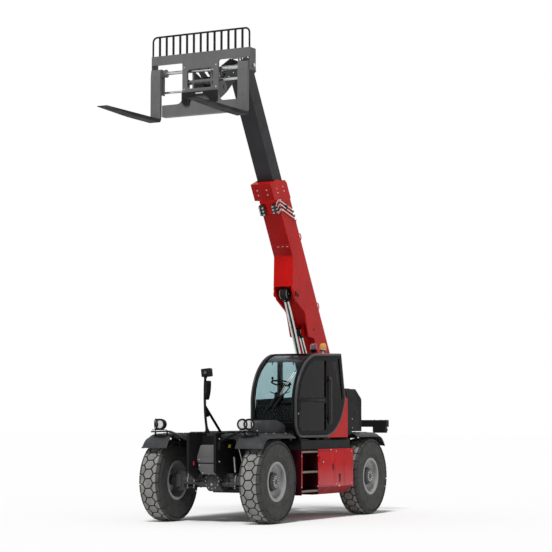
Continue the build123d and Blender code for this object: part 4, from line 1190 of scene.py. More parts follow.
@dataclass
class Cab:
    """Tubes, seals, wipers, door trim, rail, roof, beacons and inside of the cab."""

    inner: float = 0.265
    outer: float = 1.2
    front: float = -1.22
    floor: float = 1.567
    middle: float = 0.7325
    screen_centre: Point = (-0.268, 2.121)
    screen_radius: float = 0.956

    def screen(self, x: float, z: float, off: float = 0.0) -> Vector:
        """A place on the windscreen.

        Args:
            x: across the machine.
            z: the height.
            off: how far in front of the glass.

        Returns:
            The place, from the middle of the wheelbase.
        """
        if z < 2.2:
            return Vector((x, self.front - off, z))
        y0, z0 = self.screen_centre
        reach = (self.screen_radius + off) ** 2 - (z - z0) ** 2
        return Vector((x, y0 - max(reach, 0.0) ** 0.5, z))

    def outline(self, inset: float) -> list[Vector]:
        """The side profile as a closed line of flat points.

        Args:
            inset: how far inside the cab's outer surface.

        Returns:
            The points as (y, z).
        """
        points = arc((-1.22, 2.2), (-1.059, 2.657), (-0.447, 3.06), 14)
        points += [(0.1, 3.077), (0.6, 3.093), (0.661, 3.095), (0.672, 3.04), (0.75, 2.66), (0.831, 2.259)]
        points += arc((0.831, 2.259), (0.56, 1.77), (-0.035, 1.525), 14)[1:]
        points += [(-0.5, 1.525), (-0.98, 1.525)]
        points += arc((-0.98, 1.525), (-1.15, 1.605), (-1.22, 1.8), 6)[1:]
        points += [(-1.22, 2.0)]
        flat = [Vector(p) for p in points]
        moved = []
        for i, p in enumerate(flat):
            way = (flat[(i + 1) % len(flat)] - flat[i - 1]).normalized()
            moved.append(p + Vector((way.y, -way.x)) * inset)
        return moved

    def tubes(self) -> None:
        """Round tube round each side of the shell."""
        maker = Maker()
        # Their lighter grey is a painted highlight along the cab's rounded edges.
        for x in (self.outer - 0.014, self.inner + 0.014):
            line = [(x, p.x, p.y) for p in self.outline(0.012)]
            maker.pipe(line, 0.023, 5, closed=True, straight=True)
        maker.finish("cab_edge_tubes", "chassis", (TRIM_GREY_AND_HIGHLIGHT,), "black_paint")

    def seals(self) -> None:
        """Rubber round the windscreen, the rear pane and the side panes."""
        maker = Maker()
        left, right = self.outer - 0.075, self.inner + 0.075
        heights = [1.79, 1.9, 2.0, 2.1, 2.2, 2.3, 2.4, 2.5, 2.6, 2.7, 2.8, 2.88, 2.95, 3.0, 3.04]
        up = [self.screen(right, z, 0.002) for z in heights] + [Vector((right, -0.43, 3.062))]
        down = [Vector((left, *p.yz)) for p in reversed(up)]
        maker.pipe([*up, *down], 0.013, 3, closed=True, straight=True)
        rear = [(x, 0.831 - (z - 2.259) * 0.2033 + 0.002, z)
                for x, z in ((0.355, 2.33), (0.355, 2.96), (1.11, 2.96), (1.11, 2.33))]
        maker.pipe(rear, 0.012, 3, closed=True, straight=True)
        maker.finish("cab_glass_seals", "chassis", (BLACK,), "dark_plastic")

    def wipers(self) -> None:
        """Two-armed wiper of the windscreen with its motor link."""
        maker = Maker()

        def line(start: Point, run: Point, shares: Iterable[float], off: float, sink: float = 0.0) -> list:
            """Places on the screen from a start, at shares of a run, off its surface and sinking."""
            return [self.screen(start[0] + run[0] * t, start[1] + run[1] * t, off - sink * t) for t in shares]

        for start, run in (((0.698, 2.105), (0.257, 0.37)), ((0.777, 2.087), (0.297, 0.347))):
            maker.rod(self.screen(*start), self.screen(*start, 0.052), 0.02, sides=20, bevel=0.003)
            maker.pipe(line(start, run, [i / 6 for i in range(7)], 0.044, 0.01), 0.0095, 3)
            maker.pipe(line(start, run, (0.0, 0.15, 0.3, 0.42), 0.042), 0.021, 3)
        maker.pipe([self.screen(0.551, 1.977, 0.006), self.screen(0.62, 2.045, 0.02),
                    self.screen(0.698, 2.105, 0.03)], 0.01, 3)
        maker.rod(self.screen(0.551, 1.977), self.screen(0.551, 1.977, 0.02), 0.018, sides=16, bevel=0.003)
        maker.pipe([self.screen(x, z, 0.034) for x, z in ((0.955, 2.475), (1.015, 2.462), (1.074, 2.434))],
                   0.013, 3)
        steps = [i / 8 for i in range(9)]
        maker.pipe(line((0.862, 2.262), (0.232, 0.47), steps, 0.016), 0.01, 3)
        for x in (0.88, 0.912):
            maker.pipe(line((x, 2.3), (0.205, 0.41), steps, 0.03), 0.0045, 3, slot=1)
        maker.finish("windscreen_wiper", "chassis", (BLACK, ZINC), "dark_plastic")

    def door_trim(self) -> None:
        """Seals of the door's panes, its handle and its lock."""
        maker = Maker()
        x = self.outer + 0.001
        inner = self.outline(0.116)
        upper = [p for p in inner if p.x < 0.021 and p.y > 2.252]
        lower = [p for p in inner if p.x < 0.021 and p.y < 2.16]
        upper.sort(key=lambda p: -p.x if p.y > 2.9 else 5 - p.y)
        line = [(x, 0.019, 2.252), (x, 0.019, 2.955)] + [(x, p.x, p.y) for p in upper if p.x < 0.0]
        maker.pipe([*line, (x, -1.103, 2.252)], 0.008, 3, closed=True, straight=True)
        lower.sort(key=lambda p: p.x)
        low = [(x, p.x, p.y) for p in lower if p.y < 2.0]
        maker.pipe([(x, 0.019, 2.162), (x, -1.103, 2.162), *low, (x, 0.019, 1.66)], 0.008, 3,
                   closed=True, straight=True)
        for z in (2.02, 2.2):
            maker.rod((x - 0.002, -1.128, z), (x + 0.042, -1.128, z), 0.011, bevel=0.002)
        grip = ((0.042, 2.0), (0.046, 2.08), (0.046, 2.15), (0.042, 2.22))
        maker.pipe([(x + off, -1.128, z) for off, z in grip], 0.012)
        maker.rod((x - 0.002, -1.13, 1.955), (x + 0.01, -1.13, 1.955), 0.014, bevel=0.003, slot=1)
        maker.box((x - 0.004, -0.98, 2.188), (x + 0.006, -0.05, 2.228), 0.003, 0)
        maker.finish("door_trim", "cab_door", (BLACK, ZINC), "dark_plastic")

    def rails(self) -> None:
        """Grab rail beside the door, with its feet."""
        maker = Maker()
        skin, x, y, low, high = self.outer, self.outer + 0.036, 0.172, 1.78, 2.62
        maker.pipe([(skin - 0.004, y, low), (x, y, low), (x, y, low + 0.05), (x, y, (low + high) / 2),
                    (x, y, high - 0.05), (x, y, high), (skin - 0.004, y, high)], 0.013, 4)
        for z in (low, high):
            maker.rod((skin - 0.002, y, z), (skin + 0.006, y, z), 0.026, bevel=0.002)
        maker.finish("cab_grab_rail", "chassis", (TRIM_GREY_AND_HIGHLIGHT,), "black_paint")

    def roof(self) -> None:
        """Raised roof skin in two steps."""
        maker = Maker()
        for x0, x1, lift in ((0.4, 1.06, 0.004), (0.47, 0.99, 0.014)):
            top = [(y, 3.0614 + (y + 0.447) * 0.0316 + lift) for y in (-0.4 + lift * 8, 0.6 - lift * 8)]
            foot = [(y, z - 0.014) for y, z in reversed(top)]
            maker.plate([*top, *foot], Axis.X, x0, x1, 0.004)
        maker.finish("cab_roof_skin", "chassis", (CAB,), "black_paint")

    def inside(self) -> None:
        """Armrests, joysticks, pedals, display, mat and rear box."""
        maker = Maker()
        m, f = self.middle, self.floor
        maker.box((self.inner + 0.046, -1.12, f + 0.001), (self.outer - 0.046, 0.1, f + 0.01), 0.003)
        for way in (-1, 1):
            arm = [(-0.46, f + 0.52), (-0.44, f + 0.58), (0.06, f + 0.6), (0.1, f + 0.56), (0.1, f + 0.3),
                   (0.02, f + 0.22), (-0.2, f + 0.3), (-0.24, f + 0.5)]
            x0, x1 = sorted((m + way * 0.255, m + way * 0.345))
            maker.plate(arm, Axis.X, x0, x1, 0.014)
            stick = Vector((m + way * 0.3, -0.38, f + 0.575))
            maker.rod(stick, stick + Vector((0, -0.01, 0.05)), 0.03, 0.014, 18)
            maker.pipe([stick + Vector((0, -0.01, 0.04)), stick + Vector((0, -0.02, 0.1)),
                        stick + Vector((0, -0.012, 0.15)), stick + Vector((0, -0.03, 0.2))], 0.019, 4)
        for x in (m - 0.16, m + 0.1):
            pedal = Matrix.Rotation(radians(35), 4, "X")
            maker.box((x, -1.06, f + 0.07), (x + 0.08, -0.9, f + 0.085), 0.004, 0, pedal)
            maker.rod((x + 0.04, -1.0, f), (x + 0.04, -1.0, f + 0.075), 0.01)
        maker.box((self.outer - 0.2, -1.04, f + 0.5), (self.outer - 0.06, -1.01, f + 0.72), 0.01, 1,
                  Matrix.Rotation(radians(-25), 4, "Z"))
        maker.rod((self.outer - 0.13, -1.02, f + 0.02), (self.outer - 0.13, -1.02, f + 0.52), 0.012)
        maker.box((self.inner + 0.05, 0.2, f + 0.002), (self.outer - 0.05, 0.38, f + 0.3), 0.02)
        maker.finish("cab_inside", "chassis", (BLACK, SMOKED_LENS), "dark_plastic")

    def linings(self) -> None:
        """Dash board, sun band, right-hand post and sill, and the headlining."""
        maker = Maker()
        left, right = self.outer - 0.052, self.inner + 0.046
        maker.box((right + 0.03, -1.172, self.floor + 0.01), (left - 0.02, -1.14, 2.1), 0.006)
        maker.box((right + 0.05, -1.15, 1.96), (left - 0.04, -1.02, 2.085), 0.03)
        band = arc((-0.735, 2.925), (-0.6, 2.99), (-0.44, 3.022), 8)
        lower = [(y + 0.01, z - 0.022) for y, z in reversed(band)]
        maker.plate([*band, *lower], Axis.X, right + 0.02, left - 0.02, 0.004, 1)
        maker.box((right, -0.27, 2.04), (right + 0.04, -0.1, 2.99), 0.012, 1)
        sill = [(-1.13, 2.0), (-1.11, 2.215), (-0.6, 2.235), (0.2, 2.27), (0.62, 2.29), (0.64, 2.0)]
        maker.plate(sill, Axis.X, right + 0.001, right + 0.034, 0.008, 1)
        maker.box((right, -0.415, 2.992), (left, 0.58, 3.012), 0.006, 1)
        for x in (0.46, 0.66, 0.9):
            maker.pipe([(x, -0.72, 2.935), (x, -0.735, 2.905), (x, -0.75, 2.88), (x, -0.735, 2.862)], 0.01, 3)
        maker.finish("cab_linings", "chassis", (BLACK, TRIM_GREY_AND_HIGHLIGHT), "dark_plastic")

    def console(self) -> None:
        """Steering column, wheel with its knob and the levers."""
        maker = Maker()
        m, f = self.middle - 0.085, self.floor
        maker.plate([(-1.0, f + 0.01), (-0.86, f + 0.01), (-0.82, 2.02), (-0.87, 2.07), (-1.0, 2.07)], Axis.X,
                    m - 0.09, m + 0.09, 0.02, 0, 3)
        hub = Vector((m, -0.745, 2.52))
        axis = Vector((0, 0.26, 1)).normalized()
        maker.rod((m, -0.9, 2.04), hub - axis * 0.02, 0.045, 0.03, 24, 0.004)
        maker.box((m - 0.075, -0.895, 2.205), (m + 0.075, -0.76, 2.345), 0.025, 0,
                  Matrix.Rotation(radians(-14), 4, "X"))
        ring = bmesh.new()
        bmesh.ops.create_circle(ring, segments=14, radius=0.0155)
        bmesh.ops.transform(ring, matrix=Matrix.Translation((0.178, 0, 0)) @ Matrix.Rotation(pi / 2, 4, "X"),
                            verts=ring.verts)
        bmesh.ops.spin(ring, geom=ring.verts[:] + ring.edges[:], cent=(0, 0, 0), axis=(0, 0, 1), angle=2 * pi,
                       steps=48, use_merge=True, use_duplicate=False)
        bmesh.ops.remove_doubles(ring, verts=ring.verts, dist=1e-5)
        bmesh.ops.transform(ring, matrix=Matrix.Translation(hub) @ facing(axis), verts=ring.verts)
        maker.add(ring)
        flat = facing(axis).to_3x3()
        for turn in (0, 130, 230):
            spoke = flat @ Matrix.Rotation(radians(turn - 90), 3, "Z") @ Vector((0.172, 0, 0))
            maker.pipe([hub + axis * 0.002, hub + spoke * 0.5 - axis * 0.012, hub + spoke], 0.013, 3)
        maker.rod(hub - axis * 0.03, hub + axis * 0.012, 0.048, 0.04, 30, 0.008)
        knob = hub + flat @ Vector((-0.125, -0.125, 0))
        maker.rod(knob, knob + axis * 0.055, 0.012, bevel=0.002)
        maker.rod(knob + axis * 0.045, knob + axis * 0.085, 0.024, 0.02, 20, 0.008)
        for way in (-1, 1):
            maker.pipe([(m, -0.825, 2.3), (m + way * 0.1, -0.805, 2.32), (m + way * 0.2, -0.795, 2.36)],
                       0.008, 3)
        maker.finish("steering_wheel", "chassis", (BLACK,), "dark_plastic", "steering_console")

    def beacons(self) -> None:
        """Two roof beacons with ribbed domes on short stems, one amber and one smoked."""
        for name, x, y, z, lens, foot in (("amber", 1.01, 0.27, 3.085, AMBER_LENS, ZINC),
                                          ("smoked", 0.85, 0.19, 3.082, SMOKED_LENS, BLACK)):
            maker = Maker()
            base = Vector((x, y, z))
            maker.lathe([(-0.004, 0.0), (-0.004, 0.04), (0.006, 0.038), (0.01, 0.02), (0.04, 0.02),
                         (0.048, 0.03), (0.06, 0.058), (0.072, 0.066), (0.086, 0.066), (0.09, 0.06),
                         (0.09, 0.0)], base, (0, 0, 1), 40, 1)
            dome = [(0.089, 0.0), (0.089, 0.06), (0.1, 0.063), (0.11, 0.061), (0.122, 0.063), (0.134, 0.061),
                    (0.146, 0.062), (0.16, 0.059), (0.176, 0.057), (0.19, 0.05), (0.2, 0.038),
                    (0.206, 0.02), (0.207, 0.0)]
            maker.lathe(dome, base, (0, 0, 1), 40, 0)
            stands = ("beacons",) if name == "amber" else ()
            maker.finish(f"beacon_{name}", "chassis", (lens, foot), "amber", *stands)

    def build(self) -> None:
        """Builds every piece of the cab."""
        for part in (self.tubes, self.seals, self.wipers, self.door_trim, self.rails, self.roof,
                     self.inside, self.linings, self.console, self.beacons):
            part()


@dataclass
class Seat:
    """Sprung driver's seat: base, padded cushion and padded backrest."""

    middle: float = 0.7325
    half: float = 0.232
    floor: float = 1.567
    voxel: float = 0.009
    swell: float = 0.014
    pressure: float = 4.0
    frames: int = 20
    seams: Point = (-0.3, -0.1, 0.1, 0.3)
    seam_width: float = 0.045
    seam_depth: float = 0.01

    def base(self) -> None:
        """Suspension box with bellows and the shell under the cushion."""
        maker = Maker()
        m, f = self.middle, self.floor
        maker.box((m - 0.17, -0.37, f + 0.002), (m + 0.17, -0.07, f + 0.045), 0.008)
        maker.slats((m - 0.155, -0.355, f + 0.045), (m + 0.155, -0.085, f + 0.071), (0, 0, 0.03), 6, 0.012, 0)
        maker.box((m - 0.19, -0.38, f + 0.225), (m + 0.19, 0.02, f + 0.262), 0.01)
        rails = [(0.085, f + 0.4), (0.135, f + 0.4), (0.29, f + 1.06), (0.27, f + 1.07)]
        maker.plate([(y + 0.075, z) for y, z in rails], Axis.X, m - 0.15, m + 0.15, 0.01)
        maker.finish("seat_base", "chassis", (BLACK,), "dark_plastic", "operator_seat")

    def pad(self, name: str, size: Point, place: Vector, lean: float, wings: float) -> Object:
        """One swollen cushion with side bolsters and sewn channels.

        Args:
            name: the piece's name.
            size: its width, depth and height before it swells.
            place: its middle, from the middle of the wheelbase.
            lean: its turn about X in degrees.
            wings: how much the side bolsters rise.

        Returns:
            The cushion.
        """
        part = bmesh.new()
        bmesh.ops.create_cube(part, size=1.0)
        bmesh.ops.subdivide_edges(part, edges=part.edges, cuts=9, use_grid_fill=True)
        for v in part.verts:
            edge = abs(v.co.x) * 2
            pull = 1.0 - 0.055 * (1 - min(1.0, edge)) * (1 - abs(v.co.y) * 2)
            v.co.y *= pull
            if v.co.z > 0:
                v.co.z += wings * max(0.0, (edge - 0.55) / 0.45) ** 1.5
        bmesh.ops.scale(part, vec=size, verts=part.verts)
        round_edges(part, sharp_edges(part, 50), min(size) * 0.22, 3)
        mesh = bpy.data.meshes.new(name)
        part.to_mesh(mesh)
        part.free()
        piece = put(name, mesh)
        self.inflate(piece)
        part = bmesh.new()
        part.from_mesh(piece.data)
        for v in part.verts:
            if v.co.z > 0:
                near = min(abs(v.co.y / size[1] - row) for row in self.seams)
                seam = max(0.0, 1 - near / self.seam_width) * (abs(v.co.x) < size[0] * 0.33)
                v.co.z -= self.seam_depth * seam * seam
        spot = MACHINE @ Matrix.Translation(place) @ Matrix.Rotation(radians(lean), 4, "X")
        bmesh.ops.transform(part, matrix=spot, verts=part.verts)
        for face in part.faces:
            face.smooth = True
        part.to_mesh(piece.data)
        part.free()
        piece.data.materials.append(DRESSER.get(SEAT_CLOTH))
        soft = piece.modifiers.new("soft", "SUBSURF")
        soft.levels = 1
        soft.render_levels = 1
        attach(piece, "chassis")
        log.info("%s: %d faces", name, len(piece.data.polygons))
        return piece

    def inflate(self, piece: Object) -> None:
        """Swells a closed pad with a cloth simulation and keeps how far it may move.

        Args:
            piece: the pad, changed in place.
        """
        scene = bpy.context.scene
        mesh = piece.modifiers.new("even", "REMESH")
        mesh.mode = "VOXEL"
        mesh.voxel_size = self.voxel
        self.apply(piece)
        before = [v.co.copy() for v in piece.data.vertices]
        cloth = piece.modifiers.new("cloth", "CLOTH")
        cloth.settings.use_pressure = True
        cloth.settings.uniform_pressure_force = self.pressure
        cloth.settings.effector_weights.gravity = 0.0
        cloth.settings.quality = 5
        for frame in range(1, self.frames + 1):
            scene.frame_set(frame)
        self.apply(piece)
        for vertex, start in zip(piece.data.vertices, before):
            move = vertex.co - start
            if move.length > self.swell:
                vertex.co = start + move.normalized() * self.swell
        scene.frame_set(1)

    @staticmethod
    def apply(piece: Object) -> None:
        """Replaces the piece's mesh by what its modifiers make of it."""
        graph = bpy.context.evaluated_depsgraph_get()
        made = bpy.data.meshes.new_from_object(piece.evaluated_get(graph))
        old = piece.data
        piece.modifiers.clear()
        piece.data = made
        bpy.data.meshes.remove(old)

    def build(self) -> None:
        """Builds the seat."""
        m, f = self.middle, self.floor
        self.base()
        self.pad("seat_cushion", (0.4, 0.47, 0.095), Vector((m, -0.135, f + 0.322)), -3, 0.3)
        self.pad("seat_back", (0.38, 0.6, 0.085), Vector((m, 0.165, f + 0.725)), 77, 0.32)
        maker = Maker()
        for way in (-0.06, 0.06):
            maker.rod((m + way, 0.288, f + 1.02), (m + way, 0.305, f + 1.1), 0.007)
        maker.finish("headrest_rods", "chassis", (ZINC,), "chrome")


# Front end


def smooth_line(points: Sequence[Point], parts: int = 4) -> list[Vector]:
    """A smooth line through points.

    Args:
        points: the points, two or three numbers each.
        parts: how many steps lie between two of them.

    Returns:
        The line's points, both ends among them.
    """
    places = [Vector(p) for p in points]
    places = [places[0] * 2 - places[1], *places, places[-1] * 2 - places[-2]]
    line = []
    for a, b, c, d in zip(places, places[1:], places[2:], places[3:]):
        for i in range(parts):
            t = i / parts
            line.append(0.5 * (2 * b + (c - a) * t + (2 * a - 5 * b + 4 * c - d) * t * t
                               + (3 * b - a - 3 * c + d) * t * t * t))
    return [*line, places[-2]]


@dataclass
class FenderPair:
    """Two moulded mudguards with a crowned top and a sloped lip."""

    end: str
    start: float
    inner: float = 0.702
    outer: float = 1.243
    top: float = 1.6
    lip: float = 2.613
    lip_z: float = 1.337
    thick: float = 0.009

    def profile(self) -> list[Vector]:
        """The middle line over the wheel, as (reach from the middle, height)."""
        t, far = self.top, self.lip
        points = [(self.start, t - 0.004), (1.6, t), (1.9, t), (2.16, t), (2.31, t - 0.003),
                  (2.4, t - 0.022), (2.475, t - 0.068), (2.535, t - 0.13), (2.58, t - 0.195),
                  (far - 0.006, self.lip_z + 0.018), (far, self.lip_z)]
        return smooth_line(points, 3)

    def shell(self, maker: Maker) -> None:
        """Adds the guard of the left rear wheel to the mesh in work."""
        rows = self.profile()
        shares = (0.0, 0.04, 0.15, 0.35, 0.55, 0.7, 0.8, 0.88, 0.94, 0.98, 1.0)
        drops = (0.016, 0.003, 0.0, 0.0, 0.0, 0.002, 0.01, 0.028, 0.05, 0.07, 0.086)
        count, across, along = len(rows), len(shares) - 1, len(rows) - 1
        part = bmesh.new()
        bmesh.ops.create_grid(part, x_segments=across, y_segments=along, size=0.5)
        for v in part.verts:
            i, j = round((v.co.x + 0.5) * across), round((v.co.y + 0.5) * along)
            run = (rows[min(j + 1, along)] - rows[max(j - 1, 0)]).normalized()
            spot = rows[j] - Vector((-run.y, run.x)) * drops[i] * (1.0 if j < count - 9 else 0.55)
            narrow = 0.0 if j > count - 8 else 0.022 * (1 - j / count)
            v.co = (self.inner + (self.outer - narrow - self.inner) * shares[i], *spot)
        bmesh.ops.recalc_face_normals(part, faces=part.faces)
        if sum(f.normal.z for f in part.faces) < 0:
            bmesh.ops.reverse_faces(part, faces=part.faces)
        bmesh.ops.solidify(part, geom=part.faces[:], thickness=self.thick)
        maker.add(part)
        maker.pipe([(self.outer - 0.012, p.x, p.y - 0.082) for p in rows[2:-9:2]], 0.01, 3)
        maker.pipe([(x, self.lip - 0.002, self.lip_z + 0.004)
                    for x in (self.inner + 0.01, 0.85, 1.0, 1.15, self.outer - 0.02)], 0.009, 3)

    def build(self) -> None:
        """Builds both guards with their ribs, stays, arch panels and bolts."""
        way = -1 if self.end == "front" else 1
        maker = Maker(MACHINE @ Matrix.Diagonal((1, way, 1, 1)))
        start, top = self.start, self.top
        for _ in maker.sides():
            self.shell(maker)
            rib = [(start + 0.08, top - 0.002), (2.24, top - 0.002), (2.24, top + 0.006),
                   (start + 0.09, top + 0.006)]
            for x in (0.8, 0.96):
                maker.plate(rib, Axis.X, x, x + 0.035)
            maker.bolts([(x, y, top - 0.001) for y in (1.5, 1.95, 2.25) for x in (0.735, 1.13)],
                        (0, 0, 1), 0.01, 1)
            maker.box((0.286, 2.31, 1.518), (0.74, 2.37, 1.585), 0.006)
            for x, foot in ((0.602, 1.345), (0.704, 1.48)):
                maker.box((x, start + 0.06, foot), (x + 0.008, 2.3, 1.588), 0.002, 2)
            maker.box((0.704, 2.295, 1.45), (0.712, 2.42, 1.56), 0.002, 2)
        maker.finish(f"{self.end}_mudguards", "chassis", (FENDER, ZINC, BLACK), "dark_plastic",
                     f"{self.end}_fenders")


@dataclass
class WorkLamp:
    """One round lamp: bowl, bezel ring and ribbed lens."""

    radius: float = 0.102
    lens: float = 0.067

    def add(self, maker: Maker, place: Vector, turn: float) -> None:
        """Adds the lamp.

        Args:
            maker: the mesh in work, with housing, lens and bright metal as its finishes.
            place: the middle of the lens.
            turn: how far it faces outwards, in degrees.
        """
        out = Matrix.Rotation(radians(turn), 3, "Z") @ Vector((0, -1, 0))
        r = self.radius
        maker.lathe([(-0.15, 0.0), (-0.15, r * 0.4), (-0.138, r * 0.62), (-0.09, r * 0.9), (-0.03, r * 0.99),
                     (0.004, r), (0.012, r * 0.985), (0.012, r * 0.88), (0.002, r * 0.84), (0.0, 0.0)],
                    place, out, 40, 0)
        maker.lathe([(0.003, self.lens + 0.004), (0.009, self.lens + 0.003), (0.01, self.lens - 0.001),
                     (0.004, self.lens - 0.002)], place, out, 40, 2)
        maker.lathe([(0.001, 0.0), (0.001, self.lens), (0.006, self.lens), (0.011, self.lens * 0.7),
                     (0.013, 0.0)], place, out, 40, 1)


@dataclass
class FrontEnd:
    """Lamps, brackets, nose cover, cowl, mast, struts, axle fastenings and frame flanges."""

    lamp_y: float = -2.6
    lamp_z: float = 1.762
    inner_lamp: float = 0.845
    outer_lamp: float = 0.958
    nose_front: float = -2.305

    def lamps(self) -> None:
        """Twin lamps on their bent brackets."""
        maker = Maker()
        y, z = self.lamp_y, self.lamp_z
        middle = (self.inner_lamp + self.outer_lamp) / 2
        for _ in maker.sides():
            WorkLamp().add(maker, Vector((self.inner_lamp, y, z)), 0)
            WorkLamp().add(maker, Vector((self.outer_lamp, y + 0.046, z)), 46)
            maker.box((middle - 0.1, y + 0.055, z - 0.055), (middle + 0.1, y + 0.105, z + 0.05), 0.02)
            maker.box((middle - 0.13, y + 0.02, z - 0.108), (middle + 0.13, y + 0.13, z - 0.094))
            maker.bolts([(middle + x, y + 0.075, z - 0.094) for x in (-0.085, 0.085)], (0, 0, 1), 0.009, 2)
        maker.finish("work_lamps", "chassis", (BLACK, CLEAR_LENS, ZINC), "dark_plastic", "headlamps")

    def brackets(self) -> None:
        """Bent bars that carry the lamps over the mudguards, with their studs."""
        maker = Maker()
        line = [(1.1, 1.64), (0.745, 1.65), (0.575, 1.592), (0.345, 1.49), (0.286, 1.47)]
        foot = [(x, z - 0.026) for x, z in reversed(line)]
        for _ in maker.sides():
            maker.plate([*line, *foot], Axis.Y, -2.5, -2.385, 0.006)
            for x in (0.8, 1.05):
                maker.rod((x, -2.42, 1.555), (x, -2.42, 1.632), 0.016, bevel=0.002)
                maker.bolt((x, -2.42, 1.645), (0, 0, 1), 0.011, 1)
            maker.plate([(0.286, 1.47), (0.345, 1.49), (0.345, 1.3), (0.286, 1.3)], Axis.Y, -2.5, -2.488)
        maker.finish("lamp_brackets", "chassis", (CHASSIS, ZINC), "black_paint")

    def nose(self) -> None:
        """Two-part cover between the frame plates, its seam and its bolts."""
        maker = Maker()
        front, back = self.nose_front, -2.094
        upper = [(-0.168, 1.392), (0.168, 1.392), (0.184, 1.376), (0.25, 1.18), (0.25, 1.108),
                 (0.228, 1.066), (-0.228, 1.066), (-0.25, 1.108), (-0.25, 1.18), (-0.184, 1.376)]
        maker.plate(upper, Axis.Y, front, back, 0.022, 0, 4)
        shield = [(-0.15, 1.372), (0.15, 1.372), (0.222, 1.178), (-0.222, 1.178)]
        maker.plate(shield, Axis.Y, front - 0.006, front + 0.02, 0.005)
        lower = [(-0.222, 1.054), (0.222, 1.054), (0.205, 0.95), (0.142, 0.868), (-0.142, 0.868),
                 (-0.205, 0.95)]
        maker.plate(lower, Axis.Y, front, front + 0.014, 0.006)
        maker.plate([(-0.19, 1.06), (0.19, 1.06), (0.19, 0.98), (-0.19, 0.98)], Axis.Y, front + 0.012, back,
                    0.004, 1)
        maker.bolts([(x, front, z) for x, z in ((-0.19, 1.03), (0.19, 1.03), (-0.125, 0.89), (0.125, 0.89))],
                    (0, -1, 0), 0.01, 2)
        maker.bolts([(-0.2, front, 1.13), (0.2, front, 1.13)], (0, -1, 0), 0.011, 2)
        maker.finish("nose_cover", "chassis", (NOSE_GREY, BLACK, ZINC), "grey_paint")

    def cowl(self) -> None:
        """Raised cover in front of the cab with its edge beads and a step pad."""
        maker = Maker()
        side = [(-2.19, 1.602), (-2.19, 1.79), (-2.15, 1.824), (-1.56, 1.83), (-1.33, 1.762),
                (-1.246, 1.732), (-1.246, 1.602)]
        maker.plate(side, Axis.X, 0.725, 1.0, 0.014, 0, 3)
        bead = ((-2.17, 1.815), (-1.9, 1.83), (-1.56, 1.834), (-1.33, 1.768), (-1.26, 1.742))
        for x in (0.745, 0.98):
            maker.pipe([(x, y, z) for y, z in bead], 0.007, 3)
        maker.slats((0.775, -2.1, 1.826), (0.793, -1.62, 1.836), (0.05, 0, 0), 4, 0.003, 0)
        maker.bolts([(1.0, -2.05, 1.7), (1.0, -1.4, 1.7)], (1, 0, 0), 0.009)
        maker.finish("front_cowl", "chassis", (FENDER, ZINC), "dark_plastic")

    def mast(self) -> None:
        """Post with its camera box, mirror, brace, gusset and flared foot."""
        maker = Maker()
        y = -1.82
        post = [(-0.316, y, 1.602), (-0.33, y, 1.74), (-0.352, y, 1.9), (-0.362, y, 2.1), (-0.366, y, 2.3),
                (-0.36, y, 2.6), (-0.345, y, 2.7)]
        maker.pipe(post, 0.024, 5)
        foot = smooth_line([(-0.355, 1.606), (-0.345, 1.66), (-0.338, 1.76), (-0.318, 1.76), (-0.3, 1.7),
                            (-0.275, 1.65), (-0.245, 1.606)], 3)
        maker.plate(foot, Axis.Y, y - 0.016, y + 0.016, 0.004)
        maker.box((-0.385, y - 0.08, 1.602), (-0.29, y + 0.08, 1.618), 0.004)
        tilt = Matrix.Rotation(radians(-6), 4, "Y") @ Matrix.Rotation(radians(10), 4, "Z")
        maker.box((-0.405, y - 0.085, 2.626), (-0.225, y + 0.06, 2.776), 0.014, 0, tilt)
        maker.rod((-0.3, y - 0.075, 2.7), (-0.3, y - 0.103, 2.7), 0.044, 0.04, 30, 0.004, 0)
        maker.rod((-0.3, y - 0.095, 2.7), (-0.3, y - 0.108, 2.7), 0.03, 0.028, 30, 0.003, 1)
        maker.rod((-0.352, y, 2.6), (-0.352, y, 2.64), 0.03, bevel=0.004)
        mirror = smooth_line([(-0.315, 2.205), (-0.292, 2.28), (-0.272, 2.4), (-0.268, 2.52), (-0.28, 2.555),
                              (-0.302, 2.5), (-0.312, 2.36), (-0.318, 2.25)], 4)
        maker.plate(mirror, Axis.Y, y - 0.095, y + 0.065, 0.012)
        maker.rod((-0.362, y, 2.32), (-0.3, y, 2.34), 0.012, bevel=0.002)
        maker.rod((-0.362, y, 2.46), (-0.29, y, 2.47), 0.012, bevel=0.002)
        maker.rod((-0.356, y + 0.005, 2.085), (-0.33, -1.285, 1.612), 0.024, sides=20, bevel=0.003)
        maker.plate([(y + 0.01, 2.06), (y + 0.155, 1.945), (y + 0.12, 1.9), (y + 0.01, 1.89)], Axis.X, -0.356,
                    -0.344, 0.002)
        maker.box((-0.375, -1.345, 1.6), (-0.292, -1.262, 1.618), 0.004)
        for yy in (-0.06, 0.06):
            maker.bolt((-0.372, y + yy, 1.617), (0, 0, 1), 0.009, 2)
        maker.finish("camera_mast", "chassis", (BLACK, SMOKED_LENS, ZINC), "dark_plastic", "mirror_mast")

